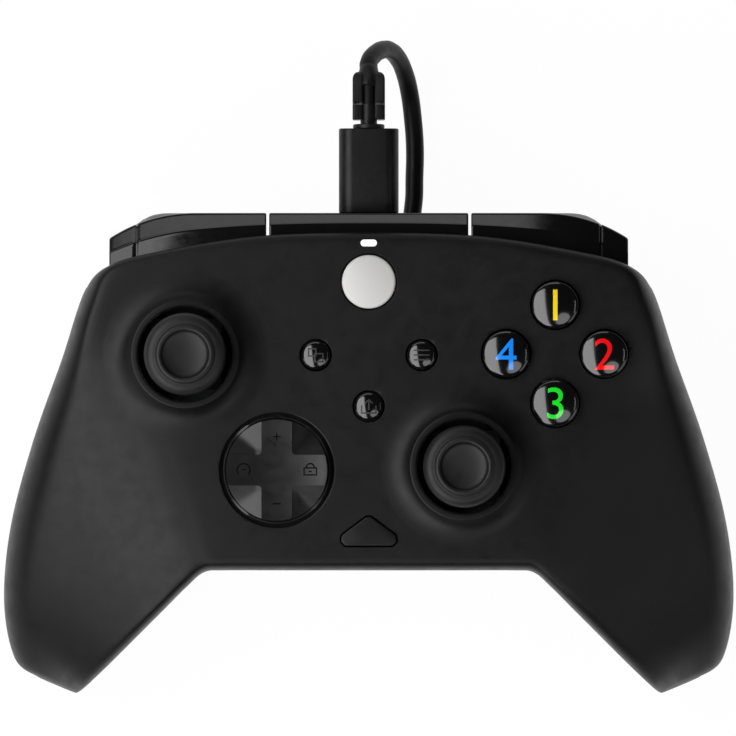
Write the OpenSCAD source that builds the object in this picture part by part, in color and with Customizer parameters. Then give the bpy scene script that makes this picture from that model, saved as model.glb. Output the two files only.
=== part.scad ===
// Wired two-stick game controller, face up, grips resting on z = 0, bumpers towards +Y

/* [Body] */
// Overall width across the two grips
body_w = 153; // [149:1:160]
// Overall length from the bumper edge to the grip tips
body_l = 100.6; // [99:0.2:104]
// Height of the flat face above the table
face_z = 46; // [45.5:0.5:48]
// Height of the seam between the shells at the middle
seam_z = 30; // [29.5:0.5:30.5]
// Height of the belly above the table
belly_z = 17; // [16.9:0.1:17.8]
// Wall of both shells
wall = 2.2; // [1.8:0.1:2.4]
// Overhang of the face above the bumper strip
lip_over = 4.2; // [4:0.1:4.6]
// Thickness of that overhang
lip_t = 2.9; // [2.6:0.1:3.1]

/* [Sticks] */
// Left stick, distance from the middle
left_stick_x = 38.3; // [36:0.1:40]
// Left stick, distance forward of the middle
left_stick_y = 20.8; // [19:0.1:22]
// Right stick, distance from the middle
right_stick_x = 19.9; // [19:0.1:22]
// Right stick, distance back from the middle
right_stick_y = 2.6; // [1:0.1:5]
// Radius of a stick cap
cap_r = 8.6; // [8:0.1:8.8]
// Radius of the opening around a stick
well_r = 9.85; // [9.6:0.05:10.2]
// Height of the raised rim around a stick
rim_h = 2.5; // [1.5:0.1:3]
// Radius of a stick shaft
shaft_r = 1.5; // [1.3:0.05:1.6]
// Height of a stick pivot above the board
pivot_h = 4.9; // [4.7:0.1:5.2]
// Outer width of a stick base
base_w = 15; // [14.6:0.1:15.6]

/* [Buttons] */
// Face button cluster, distance from the middle
cluster_x = 38.9; // [38:0.1:39.4]
// Face button cluster, distance forward of the middle
cluster_y = 20.8; // [19.5:0.1:21.4]
// Distance of a face button from the cluster centre
cluster_step = 10.25; // [9.8:0.05:10.6]
// Radius of a face button
face_key_r = 4.9; // [4.5:0.1:5.2]
// Radius of the guide button
guide_r = 5.6; // [5:0.1:6]
// Radius of the three small round buttons
small_key_r = 3.05; // [2.6:0.05:3.4]
// Gap around a button
key_gap = 0.3; // [0.2:0.05:0.4]
// Travel of a face button
face_key_travel = 1.5; // [1:0.1:1.8]

/* [Direction pad] */
// Direction pad centre, distance from the middle
dpad_x = 19.2; // [18.5:0.1:21]
// Direction pad centre, distance back from the middle
dpad_y = 3.4; // [2:0.1:5]
// Radius of the direction pad
dpad_r = 11; // [10:0.1:11.4]
// Gap around the direction pad
dpad_gap = 0.95; // [0.9:0.05:1.2]
// Width of an arm of the cross
arm_w = 6.4; // [5.6:0.1:7]

/* [Bumpers and triggers] */
// Half width of the bridge between the bumpers
bridge_half = 20.8; // [20:0.1:21.5]
// Gap between the bridge and a bumper
bridge_gap = 0.6; // [0.5:0.05:0.8]
// Wall of the bumper strip
strip_t = 1.9; // [1.6:0.1:2.1]
// Radius of a trigger pin
pin_r = 1.5; // [1.2:0.1:1.6]
// Width of a trigger
trigger_w = 22.5; // [20:0.5:23]
// Thickness of the trigger shell
trigger_t = 2.9; // [2.4:0.1:3.2]

/* [Inside] */
// Thickness of the main board
board_t = 1.6; // [1.2:0.1:1.8]
// Radius of the headset socket bore
jack_bore_r = 1.8; // [1.78:0.01:1.85]
// Depth of the headset socket bore
jack_bore_l = 14; // [13:0.5:14]
// Radius of a rumble motor can
motor_r = 6; // [5:0.1:6.4]
// Radius of the shell screw shank
screw_r = 1.15; // [1:0.05:1.25]
// Running clearance of a pin in its bore
run_gap = 0.05; // [0.04:0.01:0.07]

/* [Cord] */
// Diameter of the cord
cord_d = 3.8; // [3.6:0.1:3.9]
// Half width of the plug body
plug_half = 6.25; // [5.8:0.05:6.4]

/* [Hidden] */
$fn = 48;

// Size at which the outline stations are drawn
drawn_w = 153;
drawn_l = 100.6;
kx = body_w / drawn_w;
ky = body_l / drawn_l;

// Edge of the face above the strip: middle, fall at the ends, half width, curve
lip_mid = 46.2;
lip_fall = 6.7;
lip_half = 53.7;
lip_curve = 2.6;
// Front edge of the strip: straight part, then a curved fall
strip_mid = 50.3;
strip_straight = 36;
strip_half = 54.2;
strip_fall = 5.3;
strip_curve = 2.2;

// How far the strip and the face's edge move when the length changes
strip_shift = strip_mid * (ky - 1);
lip_shift = lip_mid * (ky - 1);

function mix(a, b, t) = a + (b - a) * t;
function placed(p) = [p[0] * kx, p[1] * ky];
function unit(v) = v / norm(v);
function held(v) = min(1, max(0, v));
function backwards(v) = [for (i = [len(v) - 1:-1:0]) v[i]];
function lip_y(x) = ky * (lip_mid - lip_fall * pow(abs(x) / (kx * lip_half), lip_curve));
function strip_y(x) =
    let (past = max(0, abs(x) / kx - strip_straight) / (strip_half - strip_straight))
    ky * (strip_mid - strip_fall * pow(past, strip_curve));

// A smooth curve through rows of values
function spline(rows, t) =
    let (last = len(rows) - 1)
    let (i = min(floor(t), last - 1), u = t - i)
    let (a = rows[max(i - 1, 0)], b = rows[i], c = rows[i + 1], d = rows[min(i + 2, last)])
    0.5 * (2 * b + (c - a) * u + (2 * a - 5 * b + 4 * c - d) * u * u
        + (3 * b - a - 3 * c + d) * u * u * u);

// Corners of a flat outline rounded by a radius
function rounded(pts, r, n = 4) =
    let (m = len(pts))
    [for (i = [0:m - 1])
        let (p = pts[i], to_a = unit(pts[(i + m - 1) % m] - p), to_b = unit(pts[(i + 1) % m] - p))
        let (half = acos(to_a * to_b) / 2, run = r / tan(half))
        let (mid = p + unit(to_a + to_b) * r / sin(half))
        let (from = p + to_a * run - mid, to = p + to_b * run - mid)
        for (k = [0:n]) mid + unit(mix(from, to, k / n)) * r];

function box_outline(w, h) = [[-w / 2, -h / 2], [w / 2, -h / 2], [w / 2, h / 2], [-w / 2, h / 2]];

// Rings of points joined into one closed skin. The ends of a paired ring, which runs out along
// one side and back along the other, are closed by cross pieces between the two sides
module loft(rings, paired = false) {
    n = len(rings);
    m = len(rings[0]);
    last = (n - 1) * m;
    sides = [for (i = [0:n - 2], j = [0:m - 1])
        let (a = i * m + j, b = i * m + (j + 1) % m, c = a + m, d = b + m)
        each [[a, b, d], [a, d, c]]];
    ends = paired
        ? [for (j = [0:m / 2 - 2])
            let (q = [j, j + 1, m - 2 - j, m - 1 - j])
            each [backwards(q), [for (k = q) last + k]]]
        : [[for (j = [m - 1:-1:0]) j], [for (j = [0:m - 1]) last + j]];
    polyhedron([for (r = rings) each r], concat(sides, ends), convexity = 8);
}

// Body stations from the middle to a grip tip, each a cross section from the inner edge
// to the outer edge: inner x, inner y, outer x, outer y, fall of the face, fall of the seam,
// share of the belly height, edge runs (top inner, top outer, bottom inner, bottom outer),
// overhang, hollow
half_rows = [
    [0, -24.4, 0, 46.2, 0, 0, 1, 5, 6, 9, 9, 1, 1],
    [18, -24.4, 24, 45.4, 0, 0, 1, 5, 6, 9, 9, 1, 1],
    [30, -24.4, 44, 42.2, 0, 0, 1, 5, 6, 9, 9, 1, 1],
    [34.4, -24.8, 54, 39.4, 0, 0, 0.95, 5, 7, 10, 10, 1, 1],
    [38, -27.8, 59.2, 34.5, 0.3, 1, 0.76, 5, 10, 11, 12, 0, 1],
    [42.5, -32.3, 64.2, 19.8, 2, 3.5, 0.47, 5.5, 13, 13, 14, 0, 1],
    [48, -37.8, 70.2, 2.9, 6, 7, 0.2, 6, 15, 15, 16, 0, 1],
    [54, -43.8, 75, -15, 12, 12, 0.05, 6, 16, 14, 15, 0, 1],
    [58.8, -48.4, 76.5, -31, 19, 17, 0, 5.5, 13, 11, 11, 0, 1],
    [60.6, -49.9, 74.3, -43, 26.5, 20.5, 0.1, 4.5, 7, 6, 6, 0, 0],
    [61.4, -50.3, 69.5, -46.9, 33, 22, 0.27, 2.5, 3.5, 3, 3, 0, 0]
];
function other_side(r) = [for (i = [0:len(r) - 1]) i == 0 || i == 2 ? -r[i] : r[i]];
rows = concat([for (i = [len(half_rows) - 1:-1:1]) other_side(half_rows[i])], half_rows);
half_steps = [0, 0.5, 1, 1.5, 2, 2.33, 2.67, 3, 3.33, 3.67, 4, 4.33, 4.67, 5, 5.5, 6, 6.5, 7,
    7.5, 8, 8.33, 8.67, 9, 9.33, 9.67, 10];
mid_row = len(half_rows) - 1;
steps = concat([for (i = [len(half_steps) - 1:-1:1]) mid_row - half_steps[i]],
    [for (s = half_steps) mid_row + s]);

edge_n = 7;
face_n = 4;
hollow_n = 4;
edge_full = 0.86;
outer_full = 0.66;
inner_full = 0.56;
tip_hollow = 0.03;
skirt_run = 1.6;

function inner_at(s) = [kx * s[0], ky * s[1]];
function outer_at(s) = [kx * s[2], ky * s[3]];
function span_of(s) = norm(outer_at(s) - inner_at(s));
function crown_of(s) = face_z - s[4];
function seam_of(s) = seam_z - s[5];
function floor_of(s) = max(0, belly_z * s[6]);
function lip_of(s) = held(s[11]);
function hollow_of(s) = max(tip_hollow, held(s[12]));
function skirt_of(s) = span_of(s) - lip_over * lip_of(s);
function in_space(s, p) =
    let (at = inner_at(s) + unit(outer_at(s) - inner_at(s)) * p[0])
    [at[0], at[1], p[1]];

// The overhanging edge, from the face to the seam
lip_shape = [[6, 0], [2.2, 0.1], [0.8, 0.6], [0.15, 1.6]];
function lip_edge(s) =
    let (l = span_of(s), c = crown_of(s), m = seam_of(s))
    concat([for (p = lip_shape) [l - p[0], c - p[1]]],
        [[l, c - lip_t], [l - lip_over, c - lip_t], [l - lip_over, mix(c - lip_t, m, 0.5)],
        [l - lip_over, m]]);
function round_edge(s, run) =
    [for (j = [0:edge_n]) let (a = 90 * (1 - j / edge_n))
        [span_of(s) - run * (1 - pow(cos(a), outer_full)),
        mix(seam_of(s), crown_of(s), pow(sin(a), outer_full))]];
function top_skin(s) =
    let (l = span_of(s), c = crown_of(s), m = seam_of(s), w = lip_of(s))
    let (lip = lip_edge(s), turn = round_edge(s, s[8]))
    let (outer = [for (j = [0:edge_n]) mix(turn[j], lip[j], w)])
    concat(
        [for (j = [0:edge_n]) let (a = 90 * j / edge_n)
            [s[7] * (1 - pow(cos(a), inner_full)), mix(m, c, pow(sin(a), inner_full))]],
        [for (j = [1:face_n - 1]) [mix(s[7], outer[0][0], j / face_n), c]],
        outer);
function top_hollow(s) =
    let (l = skirt_of(s), m = seam_of(s), c = mix(m, crown_of(s) - wall, hollow_of(s)))
    let (share = 1 - 2 * wall / l, run = mix(s[8], skirt_run, lip_of(s)))
    concat(
        [for (j = [0:hollow_n]) let (a = 90 * j / hollow_n)
            [l - wall - run * share * (1 - cos(a)), mix(m, c, sin(a))]],
        [for (j = [hollow_n:-1:0]) let (a = 90 * j / hollow_n)
            [wall + s[7] * share * (1 - cos(a)), mix(m, c, sin(a))]]);
function low_skin(s) =
    let (l = skirt_of(s), m = seam_of(s), b = floor_of(s))
    concat(
        [for (j = [0:edge_n]) let (a = 90 * j / edge_n)
            [s[9] * (1 - pow(cos(a), edge_full)), mix(m, b, pow(sin(a), edge_full))]],
        [for (j = [1:face_n - 1]) [mix(s[9], l - s[10], j / face_n), b]],
        [for (j = [edge_n:-1:0]) let (a = 90 * j / edge_n)
            [l - s[10] * (1 - pow(cos(a), edge_full)), mix(m, b, pow(sin(a), edge_full))]]);
function low_hollow(s) =
    let (l = skirt_of(s), m = seam_of(s), b = mix(m, floor_of(s) + wall, hollow_of(s)))
    let (share = 1 - 2 * wall / l)
    concat(
        [for (j = [0:hollow_n]) let (a = 90 * j / hollow_n)
            [l - wall - s[10] * share * (1 - cos(a)), mix(m, b, sin(a))]],
        [for (j = [hollow_n:-1:0]) let (a = 90 * j / hollow_n)
            [wall + s[9] * share * (1 - cos(a)), mix(m, b, sin(a))]]);
function front_ring(s) = [for (p = concat(top_skin(s), top_hollow(s))) in_space(s, p)];
function back_ring(s) = backwards([for (p = concat(low_skin(s), low_hollow(s))) in_space(s, p)]);

// Heights inside
board_top = seam_z + board_t;
under_face = face_z - wall;
pivot_z = board_top + pivot_h;
sheet_t = 1.2;
dome_h = 2.8;
dome_top = board_top + sheet_t + dome_h;
rest_gap = 0.25;
flange_t = 1.1;
flange_w = 0.9;
flange_gap = 0.8;
flange_d = 3.6;

// Where the controls stand
left_stick = placed([-left_stick_x, left_stick_y]);
right_stick = placed([right_stick_x, -right_stick_y]);
dpad_at = placed([-dpad_x, -dpad_y]);
cluster = placed([cluster_x, cluster_y]);
guide_at = [0, 35.9 + lip_shift];
view_at = placed([-11.05, 20.6]);
menu_at = placed([11.05, 20.6]);
share_at = placed([0, 9.9]);
function_at = placed([0, -16]);
led_at = [0, 44 + lip_shift];
led_w = 3.4;
led_d = 1.4;
step_dirs = [[0, 1], [1, 0], [0, -1], [-1, 0]];
function face_key_at(i) = cluster + step_dirs[i] * cluster_step;

// Rounded triangle of the function key: width and depth between its sharp corners
tri_w = 17.4;
tri_d = 6.48;
tri_r = 1.4;
tri_tab_w = 14.2;
tri_tab_d = 2.4;
tri_slope = atan(2 * tri_d / tri_w);
function tri_outline(grow) =
    let (half = tri_w / 2 + grow / tan(tri_slope / 2))
    rounded([[-half, -tri_d / 2 - grow], [half, -tri_d / 2 - grow],
        [0, tri_d / 2 + grow / cos(tri_slope)]], tri_r + grow, 4);
function pill_outline(w, d, n = 8) =
    [for (k = [-n:n]) [(w - d) / 2 + d / 2 * cos(90 * k / n), d / 2 * sin(90 * k / n)],
     for (k = [-n:n]) [-(w - d) / 2 - d / 2 * cos(90 * k / n), -d / 2 * sin(90 * k / n)]];

// Fasteners
screw_spots = [for (p = [[51.5, 29.5], [-51.5, 29.5], [27.5, -18], [-27.5, -18]]) placed(p)];
boss_r = 2.8;
post_r = 3.1;
head_r = 2.2;
head_z = 23;
head_t = 2;
post_low = 20;
board_spots = [for (p = [[-22, 31], [22, 31], [2, 0]]) placed(p)];
motor_spots = [for (p = [[-61.5, -22], [61.5, -22]]) placed(p)];
motor_pad_z = 8;
motor_pad_low = 4.2;

// Trigger pivot and what carries it, right side
trigger_in = 29;
pivot_y = 44 + strip_shift;
hinge_z = 29.5;
ear_in = 31.5;
ear_t = 2;
ear_out = 44;
hub_x = 34;
hub_l = 5.5;
hub_r = 3;
coil_x = 40;
coil_l = 3.4;
notch_gap = 0.7;
notch_y = 30 + strip_shift;
notch_low = 23.4;
notch_high = 33.4;
frame_z = 24;
frame_t = 2;

// Tongue of the board that carries the cord's socket
tongue_w = 6;
tongue_y = 46;

// Shelf of the back shell under the bridge
chin_t = 2.2;
skirt_y = lip_mid * ky - lip_over;
chin_z = seam_z - 3.2 - chin_t;

// Headset socket and cord socket
jack_z = 26.6;
jack_nose_y = -24.1 * ky;
jack_y = jack_nose_y + 4.1;
jack_l = 11.6;
jack_w = 7;
jack_nose_r = 2.9;
usb_w = 8.94;
usb_h = 3.26;
usb_z = board_top + usb_h / 2;

// Pivot of a bumper on the bridge
bumper_pin_x = 23;
bumper_pin_r = 1.2;
hub_wall = 1;
skirt_gap = 0.44;
bumper_pin = [bumper_pin_x, lip_y(bumper_pin_x) - lip_over + bumper_pin_r + hub_wall + skirt_gap];
strip_low = face_z - 11.6;
strip_top = face_z - lip_t - 0.5;
arm_z = strip_low + 0.2;
arm_t = 1.6;
arm_half = 1.4;
rib_t = 4.1;

module at(p, z = 0) {
    translate([p[0], p[1], z]) children();
}

// Shells
module stick_rim() {
    translate([0, 0, face_z])
    rotate_extrude()
    polygon([[well_r - 1, -1.9], [well_r - 1, rim_h - 1.2], [well_r, rim_h - 0.5],
        [well_r + 0.3, rim_h - 0.1], [well_r + 0.8, rim_h], [well_r + 1.3, rim_h - 0.15],
        [well_r + 1.7, rim_h - 0.6], [well_r + 2.6, rim_h * 0.5], [well_r + 3.8, rim_h * 0.22],
        [well_r + 5.2, 0], [well_r + 5.2, -1.9]]);
}

module trigger_notch() {
    translate([ear_in - notch_gap, notch_y, notch_low])
    cube([ear_out + ear_t - ear_in + 2 * notch_gap, 18, notch_high - notch_low]);
}

module socket_notch() {
    translate([-tongue_w - 1, skirt_y - 6, seam_z - 2]) cube([2 * tongue_w + 2, 6.5, 9]);
}

module both_sides() {
    children();
    mirror([1, 0, 0]) children();
}

module round_hole(p, r) {
    at(p, seam_z) cylinder(h = 30, r = r);
}

module front_shell() {
    color("#232324")
    difference() {
        union() {
            loft([for (t = steps) front_ring(spline(rows, t))]);
            at(left_stick) stick_rim();
            at(right_stick) stick_rim();
            for (p = screw_spots) at(p, seam_z) cylinder(h = under_face + 0.3 - seam_z, r = boss_r);
        }
        for (p = [left_stick, right_stick]) round_hole(p, well_r);
        round_hole(dpad_at, dpad_r + dpad_gap);
        for (i = [0:3]) round_hole(face_key_at(i), face_key_r + key_gap);
        at(guide_at, under_face - 3.4) cylinder(h = 10, r = guide_r + key_gap);
        for (p = [view_at, menu_at, share_at]) round_hole(p, small_key_r + key_gap);
        at(function_at, seam_z + 1) linear_extrude(30) polygon(tri_outline(key_gap));
        at(led_at, seam_z + 9) linear_extrude(30) polygon(pill_outline(led_w + 0.2, led_d + 0.2));
        for (p = screw_spots)
            at(p, seam_z - 1) cylinder(h = face_z - 4 - seam_z + 1, r = screw_r + run_gap);
        both_sides() trigger_notch();
        socket_notch();
    }
}

module back_shell() {
    color("#1d1d1e")
    difference() {
        union() {
            loft([for (t = steps) back_ring(spline(rows, t))]);
            for (p = screw_spots) at(p, post_low) cylinder(h = seam_z - post_low, r = post_r);
            translate([0, 0, chin_z])
            linear_extrude(chin_t)
            polygon([[-bridge_half, skirt_y - 4], [bridge_half, skirt_y - 4],
                [bridge_half, strip_mid * ky - 2],
                [bridge_half - 2, strip_mid * ky - 0.4], [2 - bridge_half, strip_mid * ky - 0.4],
                [-bridge_half, strip_mid * ky - 2]]);
            for (p = motor_spots)
                at(p, motor_pad_low) cylinder(h = motor_pad_z - motor_pad_low, r = motor_r - 1);
        }
        for (p = screw_spots) {
            at(p, 0) cylinder(h = head_z, r = head_r + 0.25);
            at(p, head_z - 1) cylinder(h = 20, r = screw_r + 0.4);
        }
        both_sides() trigger_notch();
        socket_notch();
        translate([0, jack_y + 5, jack_z]) rotate([90, 0, 0]) cylinder(h = 12, r = jack_nose_r + 0.3);
    }
}

// Strip of bridge and bumpers: one cross section at x
function strip_ring(x, rear, low) =
    let (e = strip_y(x), l = lip_y(x), t = strip_t)
    let (mid = mix(l + 0.3, e - 1.9, 0.55))
    [[x, rear, strip_top], [x, l + 0.3, strip_top - 0.15], [x, mid, strip_top - 0.8],
     [x, e - 1.9, strip_top - 2], [x, e - 0.7, strip_top - 3.9], [x, e - 0.1, strip_top - 5.6],
     [x, e, low + 0.4], [x, e - 0.4, low], [x, e - t, low], [x, e - t - 0.1, strip_top - 5.2],
     [x, e - t - 1.2, strip_top - 4], [x, mid - 0.5, strip_top - 2.8],
     [x, l, strip_top - 0.1 - t], [x, rear, strip_top - t]];

module bridge() {
    bx = bridge_half;
    front = strip_mid * ky;
    rib_x = bx - rib_t - 0.5;
    rib_y = lip_y(bx) - lip_over + 1;
    color("#0d0d0e")
    difference() {
        union() {
            loft([for (x = [-bx, -bx * 0.7, -bx * 0.35, 0, bx * 0.35, bx * 0.7, bx])
                strip_ring(x, lip_y(x) - lip_over + 0.2, seam_z - 3)], paired = true);
            both_sides() {
                translate([rib_x, 0, 0])
                rotate([90, 0, 90])
                linear_extrude(rib_t)
                polygon([[rib_y, arm_z], [front - 1, arm_z], [front - 1, strip_top - 4.2],
                    [bumper_pin[1] + 1.8, strip_top - 4.2], [bumper_pin[1] + 1.8, strip_top - 1],
                    [rib_y, strip_top - 1]]);
                translate([rib_x + 0.6, bumper_pin[1] - arm_half, arm_z - 0.4])
                cube([bumper_pin[0] - rib_x - 0.6, 2 * arm_half, arm_t + 0.4]);
                at(bumper_pin, arm_z - 0.4) cylinder(h = arm_t + 0.4, r = arm_half + 0.5);
                at(bumper_pin, arm_z + 0.5) cylinder(h = strip_top - 2.4 - arm_z - 0.5, r = bumper_pin_r);
            }
        }
        translate([0, front + 5, usb_z])
        rotate([90, 0, 0])
        linear_extrude(15)
        polygon(rounded(box_outline(usb_w + 0.6, usb_h + 0.6), 1.7, 5));
    }
}

bumper_start = bridge_half + bridge_gap;
bumper_end = strip_half * kx;
bumper_xs = [0, 0.14, 0.29, 0.44, 0.56, 0.66, 0.75, 0.82, 0.84, 0.92, 1];
module bumper() {
    color("#0d0d0e")
    difference() {
        union() {
            loft([for (u = bumper_xs) let (x = mix(bumper_start, bumper_end, u))
                strip_ring(x, lip_y(x) - 2.5, strip_low)], paired = true);
            at(bumper_pin, arm_z + arm_t + 0.2)
            cylinder(h = strip_top - 1 - arm_z - arm_t - 0.2, r = bumper_pin_r + hub_wall);
        }
        at(bumper_pin, arm_z) cylinder(h = strip_top - 2.2 - arm_z, r = bumper_pin_r + run_gap);
    }
}
module right_bumper() {
    bumper();
}
module left_bumper() {
    mirror([1, 0, 0]) bumper();
}

// Triggers: front curve of the finger face from top to tip, as y and z
trigger_front = [[49.2, 33.3], [50.1, 30], [50.25, 25.5], [49.2, 19.5], [46.4, 13], [42.4, 8.2],
    [39.8, 6.2]];
function trigger_point(s) = spline(trigger_front, s) + [strip_shift, 0];
function trigger_way(s) =
    let (a = trigger_point(max(0, s - 0.05)), b = trigger_point(min(6, s + 0.05)))
    unit(b - a);
trigger_marks = [0, 0.6, 1.2, 2, 3, 4, 4.7, 5.3, 5.7, 6];
// Depth of the trigger behind its face, from top to tip
trigger_depth = [[8.5], [8], [7], [5.6], [4], [2.9], [2]];
function trigger_side(s, depth) =
    let (w = trigger_way(s))
    trigger_point(s) + [w[1], -w[0]] * depth;
// Share of the depth by which the face sweeps back towards the outer end
sweep_from = 12;
sweep_most = 0.8;
sweep_curve = 2.8;
function trigger_sweep(x) =
    sweep_most * pow(max(0, x - trigger_in - sweep_from) / (trigger_w - sweep_from), sweep_curve);
function trigger_ring(x, full, short) =
    let (f = [for (m = trigger_marks) let (s = m * (1 - short))
        trigger_side(s, (1 - full) * 2 + trigger_sweep(x) * (spline(trigger_depth, s)[0] - 2 * (1 - full)))])
    let (b = [for (m = trigger_marks) let (s = m * (1 - short))
        trigger_side(s, spline(trigger_depth, s)[0] - (1 - full) * 0.8)])
    [for (p = concat(f, backwards(b))) [x, p[0], p[1]]];
// Along the width: distance from the nearer end, fullness, shortening of the tip
trigger_ends = [[0, 0.35, 0.16], [0.5, 0.7, 0.1], [1.4, 0.9, 0.05], [3, 1, 0.015], [5.5, 1, 0]];
// Room behind the face for the hub and the ears
function trigger_room() =
    let (f = [for (m = [0, 0.6, 1.2, 2, 3, 4, 4.7]) trigger_side(m, trigger_t)])
    concat([f[0] + [0, 4]], f, [[pivot_y - 8, 9], [pivot_y - 14, 20], [pivot_y - 14, f[0][1] + 4]]);
module trigger() {
    near = [for (e = trigger_ends) trigger_ring(trigger_in + e[0], e[1], e[2])];
    between = [for (k = [1:3]) trigger_ring(trigger_in + mix(5.5, trigger_w - 5.5, k / 4), 1, 0)];
    far = [for (e = backwards(trigger_ends)) trigger_ring(trigger_in + trigger_w - e[0], e[1], e[2])];
    color("#1b1b1c")
    difference() {
        union() {
            difference() {
                loft(concat(near, between, far), paired = true);
                translate([ear_in - notch_gap, 0, 0])
                rotate([90, 0, 90])
                linear_extrude(ear_out + ear_t - ear_in + 2 * notch_gap)
                polygon(trigger_room());
            }
            translate([hub_x, pivot_y, hinge_z]) rotate([0, 90, 0]) cylinder(h = hub_l, r = hub_r);
            for (x = [hub_x, hub_x + hub_l - 1.8])
                translate([x, 0, 0])
                rotate([90, 0, 90])
                linear_extrude(1.8)
                polygon([[pivot_y - 1.5, hinge_z + 2.4], [pivot_y + 4, hinge_z + 2.4], [pivot_y + 4, 24],
                    [pivot_y + 3.2, 20], [pivot_y - 1.5, hinge_z - 2.4]]);
        }
        translate([hub_x - 1, pivot_y, hinge_z])
        rotate([0, 90, 0])
        cylinder(h = hub_l + 2, r = pin_r + run_gap);
    }
}
module right_trigger() {
    trigger();
}
module left_trigger() {
    mirror([1, 0, 0]) trigger();
}
module trigger_pin() {
    color("#b9bcc0")
    translate([ear_in - 0.3, pivot_y, hinge_z])
    rotate([0, 90, 0])
    cylinder(h = ear_out + ear_t - ear_in + 0.6, r = pin_r);
}
module right_trigger_pin() {
    trigger_pin();
}
module left_trigger_pin() {
    mirror([1, 0, 0]) trigger_pin();
}
module trigger_spring() {
    color("#a9adb2")
    union() {
        translate([coil_x, pivot_y, hinge_z])
        rotate([0, 90, 0])
        difference() {
            cylinder(h = coil_l, r = pin_r + 1.1);
            translate([0, 0, -1]) cylinder(h = coil_l + 2, r = pin_r + 0.4);
        }
        translate([coil_x + 0.5, pivot_y - 8, hinge_z - pin_r - 0.75])
        rotate([-90, 0, 0])
        cylinder(h = 8, r = 0.35);
        translate([coil_x + coil_l - 0.5, pivot_y + pin_r + 0.75, hinge_z - 7])
        cylinder(h = 7, r = 0.35);
    }
}
module right_trigger_spring() {
    trigger_spring();
}
module left_trigger_spring() {
    mirror([1, 0, 0]) trigger_spring();
}

// Inner frame with the ears that carry the trigger pins
module ear() {
    rotate([90, 0, 90])
    linear_extrude(ear_t)
    polygon([[pivot_y - 14, frame_z], [pivot_y - 7, frame_z], [pivot_y + 0.8, hinge_z - 2.9],
        [pivot_y - 1.6, hinge_z + 2.6], [pivot_y - 7.5, 28], [pivot_y - 14, frame_z + frame_t]]);
    translate([0, pivot_y, hinge_z]) rotate([0, 90, 0]) cylinder(h = ear_t, r = 3);
}
frame_half = ear_out + ear_t;
frame_rear = jack_y + jack_l + 0.4;
half_frame = [[30, 36 * ky], [frame_half, 33 * ky], [frame_half, 12 * ky], [28, 2 * ky], [14, frame_rear]];
frame_outline = concat(half_frame, [for (q = backwards(half_frame)) [-q[0], q[1]]]);
leg_spots = [for (p = [[-22, 26], [22, 26], [0, -3]]) placed(p)];
module mid_frame() {
    color("#3a3b3d")
    difference() {
        union() {
            translate([0, 0, frame_z]) linear_extrude(frame_t) polygon(frame_outline);
            for (p = board_spots) at(p, frame_z + 0.5) cylinder(h = seam_z - frame_z - 0.5, r = 2.5);
            for (p = leg_spots) at(p, belly_z + wall) cylinder(h = frame_z + 0.5 - belly_z - wall, r = 2.5);
            both_sides() {
                translate([ear_in, 0, 0]) ear();
                translate([ear_out, 0, 0]) ear();
            }
        }
        for (p = board_spots) at(p, frame_z + 1) cylinder(h = 10, r = 0.8 + run_gap);
        both_sides()
            translate([ear_in - 1, pivot_y, hinge_z])
            rotate([0, 90, 0])
            cylinder(h = 20, r = pin_r + 0.02);
    }
}

// Circuit board
half_board = [[7, 36], [43, 33], [46, 29], [47.5, 25.4], [54, 25.4], [54, 12], [46, 8], [32, 4],
    [32, -12], [22, -19]];
board_outline = concat([[-tongue_w, tongue_y * ky], [tongue_w, tongue_y * ky]],
    [for (p = concat(half_board, [for (q = backwards(half_board)) [-q[0], q[1]]])) placed(p)]);
module main_board() {
    color("#1d5a3a")
    difference() {
        translate([0, 0, seam_z]) linear_extrude(board_t) polygon(board_outline);
        for (p = board_spots) at(p, seam_z - 1) cylinder(h = 5, r = 1);
    }
}

// Stick mechanism
base_hollow = 11.5;
base_h = 8.9;
yoke_r = 5;
yoke_bore = 3.4;
yoke_half = 1.3;
yoke_pin_r = 1.1;
pivot_hub_r = 2.5;
pivot_pin_r = 0.7;
module stick_base() {
    color("#8d9094")
    difference() {
        union() {
            translate([-base_w / 2, -base_w / 2, board_top]) cube([base_w, base_w, base_h]);
            translate([-5, base_w / 2 - 0.5, board_top]) cube([10, 3, 7.4]);
        }
        translate([-base_hollow / 2, -base_hollow / 2, board_top + 1]) cube([base_hollow, base_hollow, 20]);
        translate([-20, 0, pivot_z]) rotate([0, 90, 0]) cylinder(h = 40, r = yoke_pin_r + run_gap);
    }
}
module stick_yoke() {
    color("#dcdcda")
    translate([0, 0, pivot_z])
    difference() {
        union() {
            translate([0, 0, -yoke_half]) cylinder(h = 2 * yoke_half, r = yoke_r);
            translate([-base_w / 2, 0, 0]) rotate([0, 90, 0]) cylinder(h = base_w, r = yoke_pin_r);
        }
        translate([0, 0, -5]) cylinder(h = 10, r = yoke_bore);
        translate([0, -10, 0]) rotate([-90, 0, 0]) cylinder(h = 20, r = pivot_pin_r + run_gap);
    }
}
module stick_pivot() {
    color("#33363a")
    translate([0, 0, pivot_z])
    difference() {
        union() {
            translate([0, 0, -1.9]) cylinder(h = 3.8, r = pivot_hub_r);
            translate([0, 0.3 - yoke_r, 0])
            rotate([-90, 0, 0])
            cylinder(h = 2 * yoke_r - 0.6, r = pivot_pin_r);
        }
        translate([0, 0, -5]) cylinder(h = 10, r = shaft_r + run_gap);
    }
}
shaft_top = face_z + 6;
module stick_shaft() {
    color("#c4c7ca")
    translate([0, 0, pivot_z - 2.9])
    cylinder(h = shaft_top - pivot_z + 2.9, r = shaft_r);
}
neck_r = 2.7;
cap_shape = [[0, 11.3], [2.6, 11.45], [4.4, 11.9], [5.2, 12.5], [5.5, 12.8], [6.1, 12.8], [6.5, 12.5]];
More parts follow.
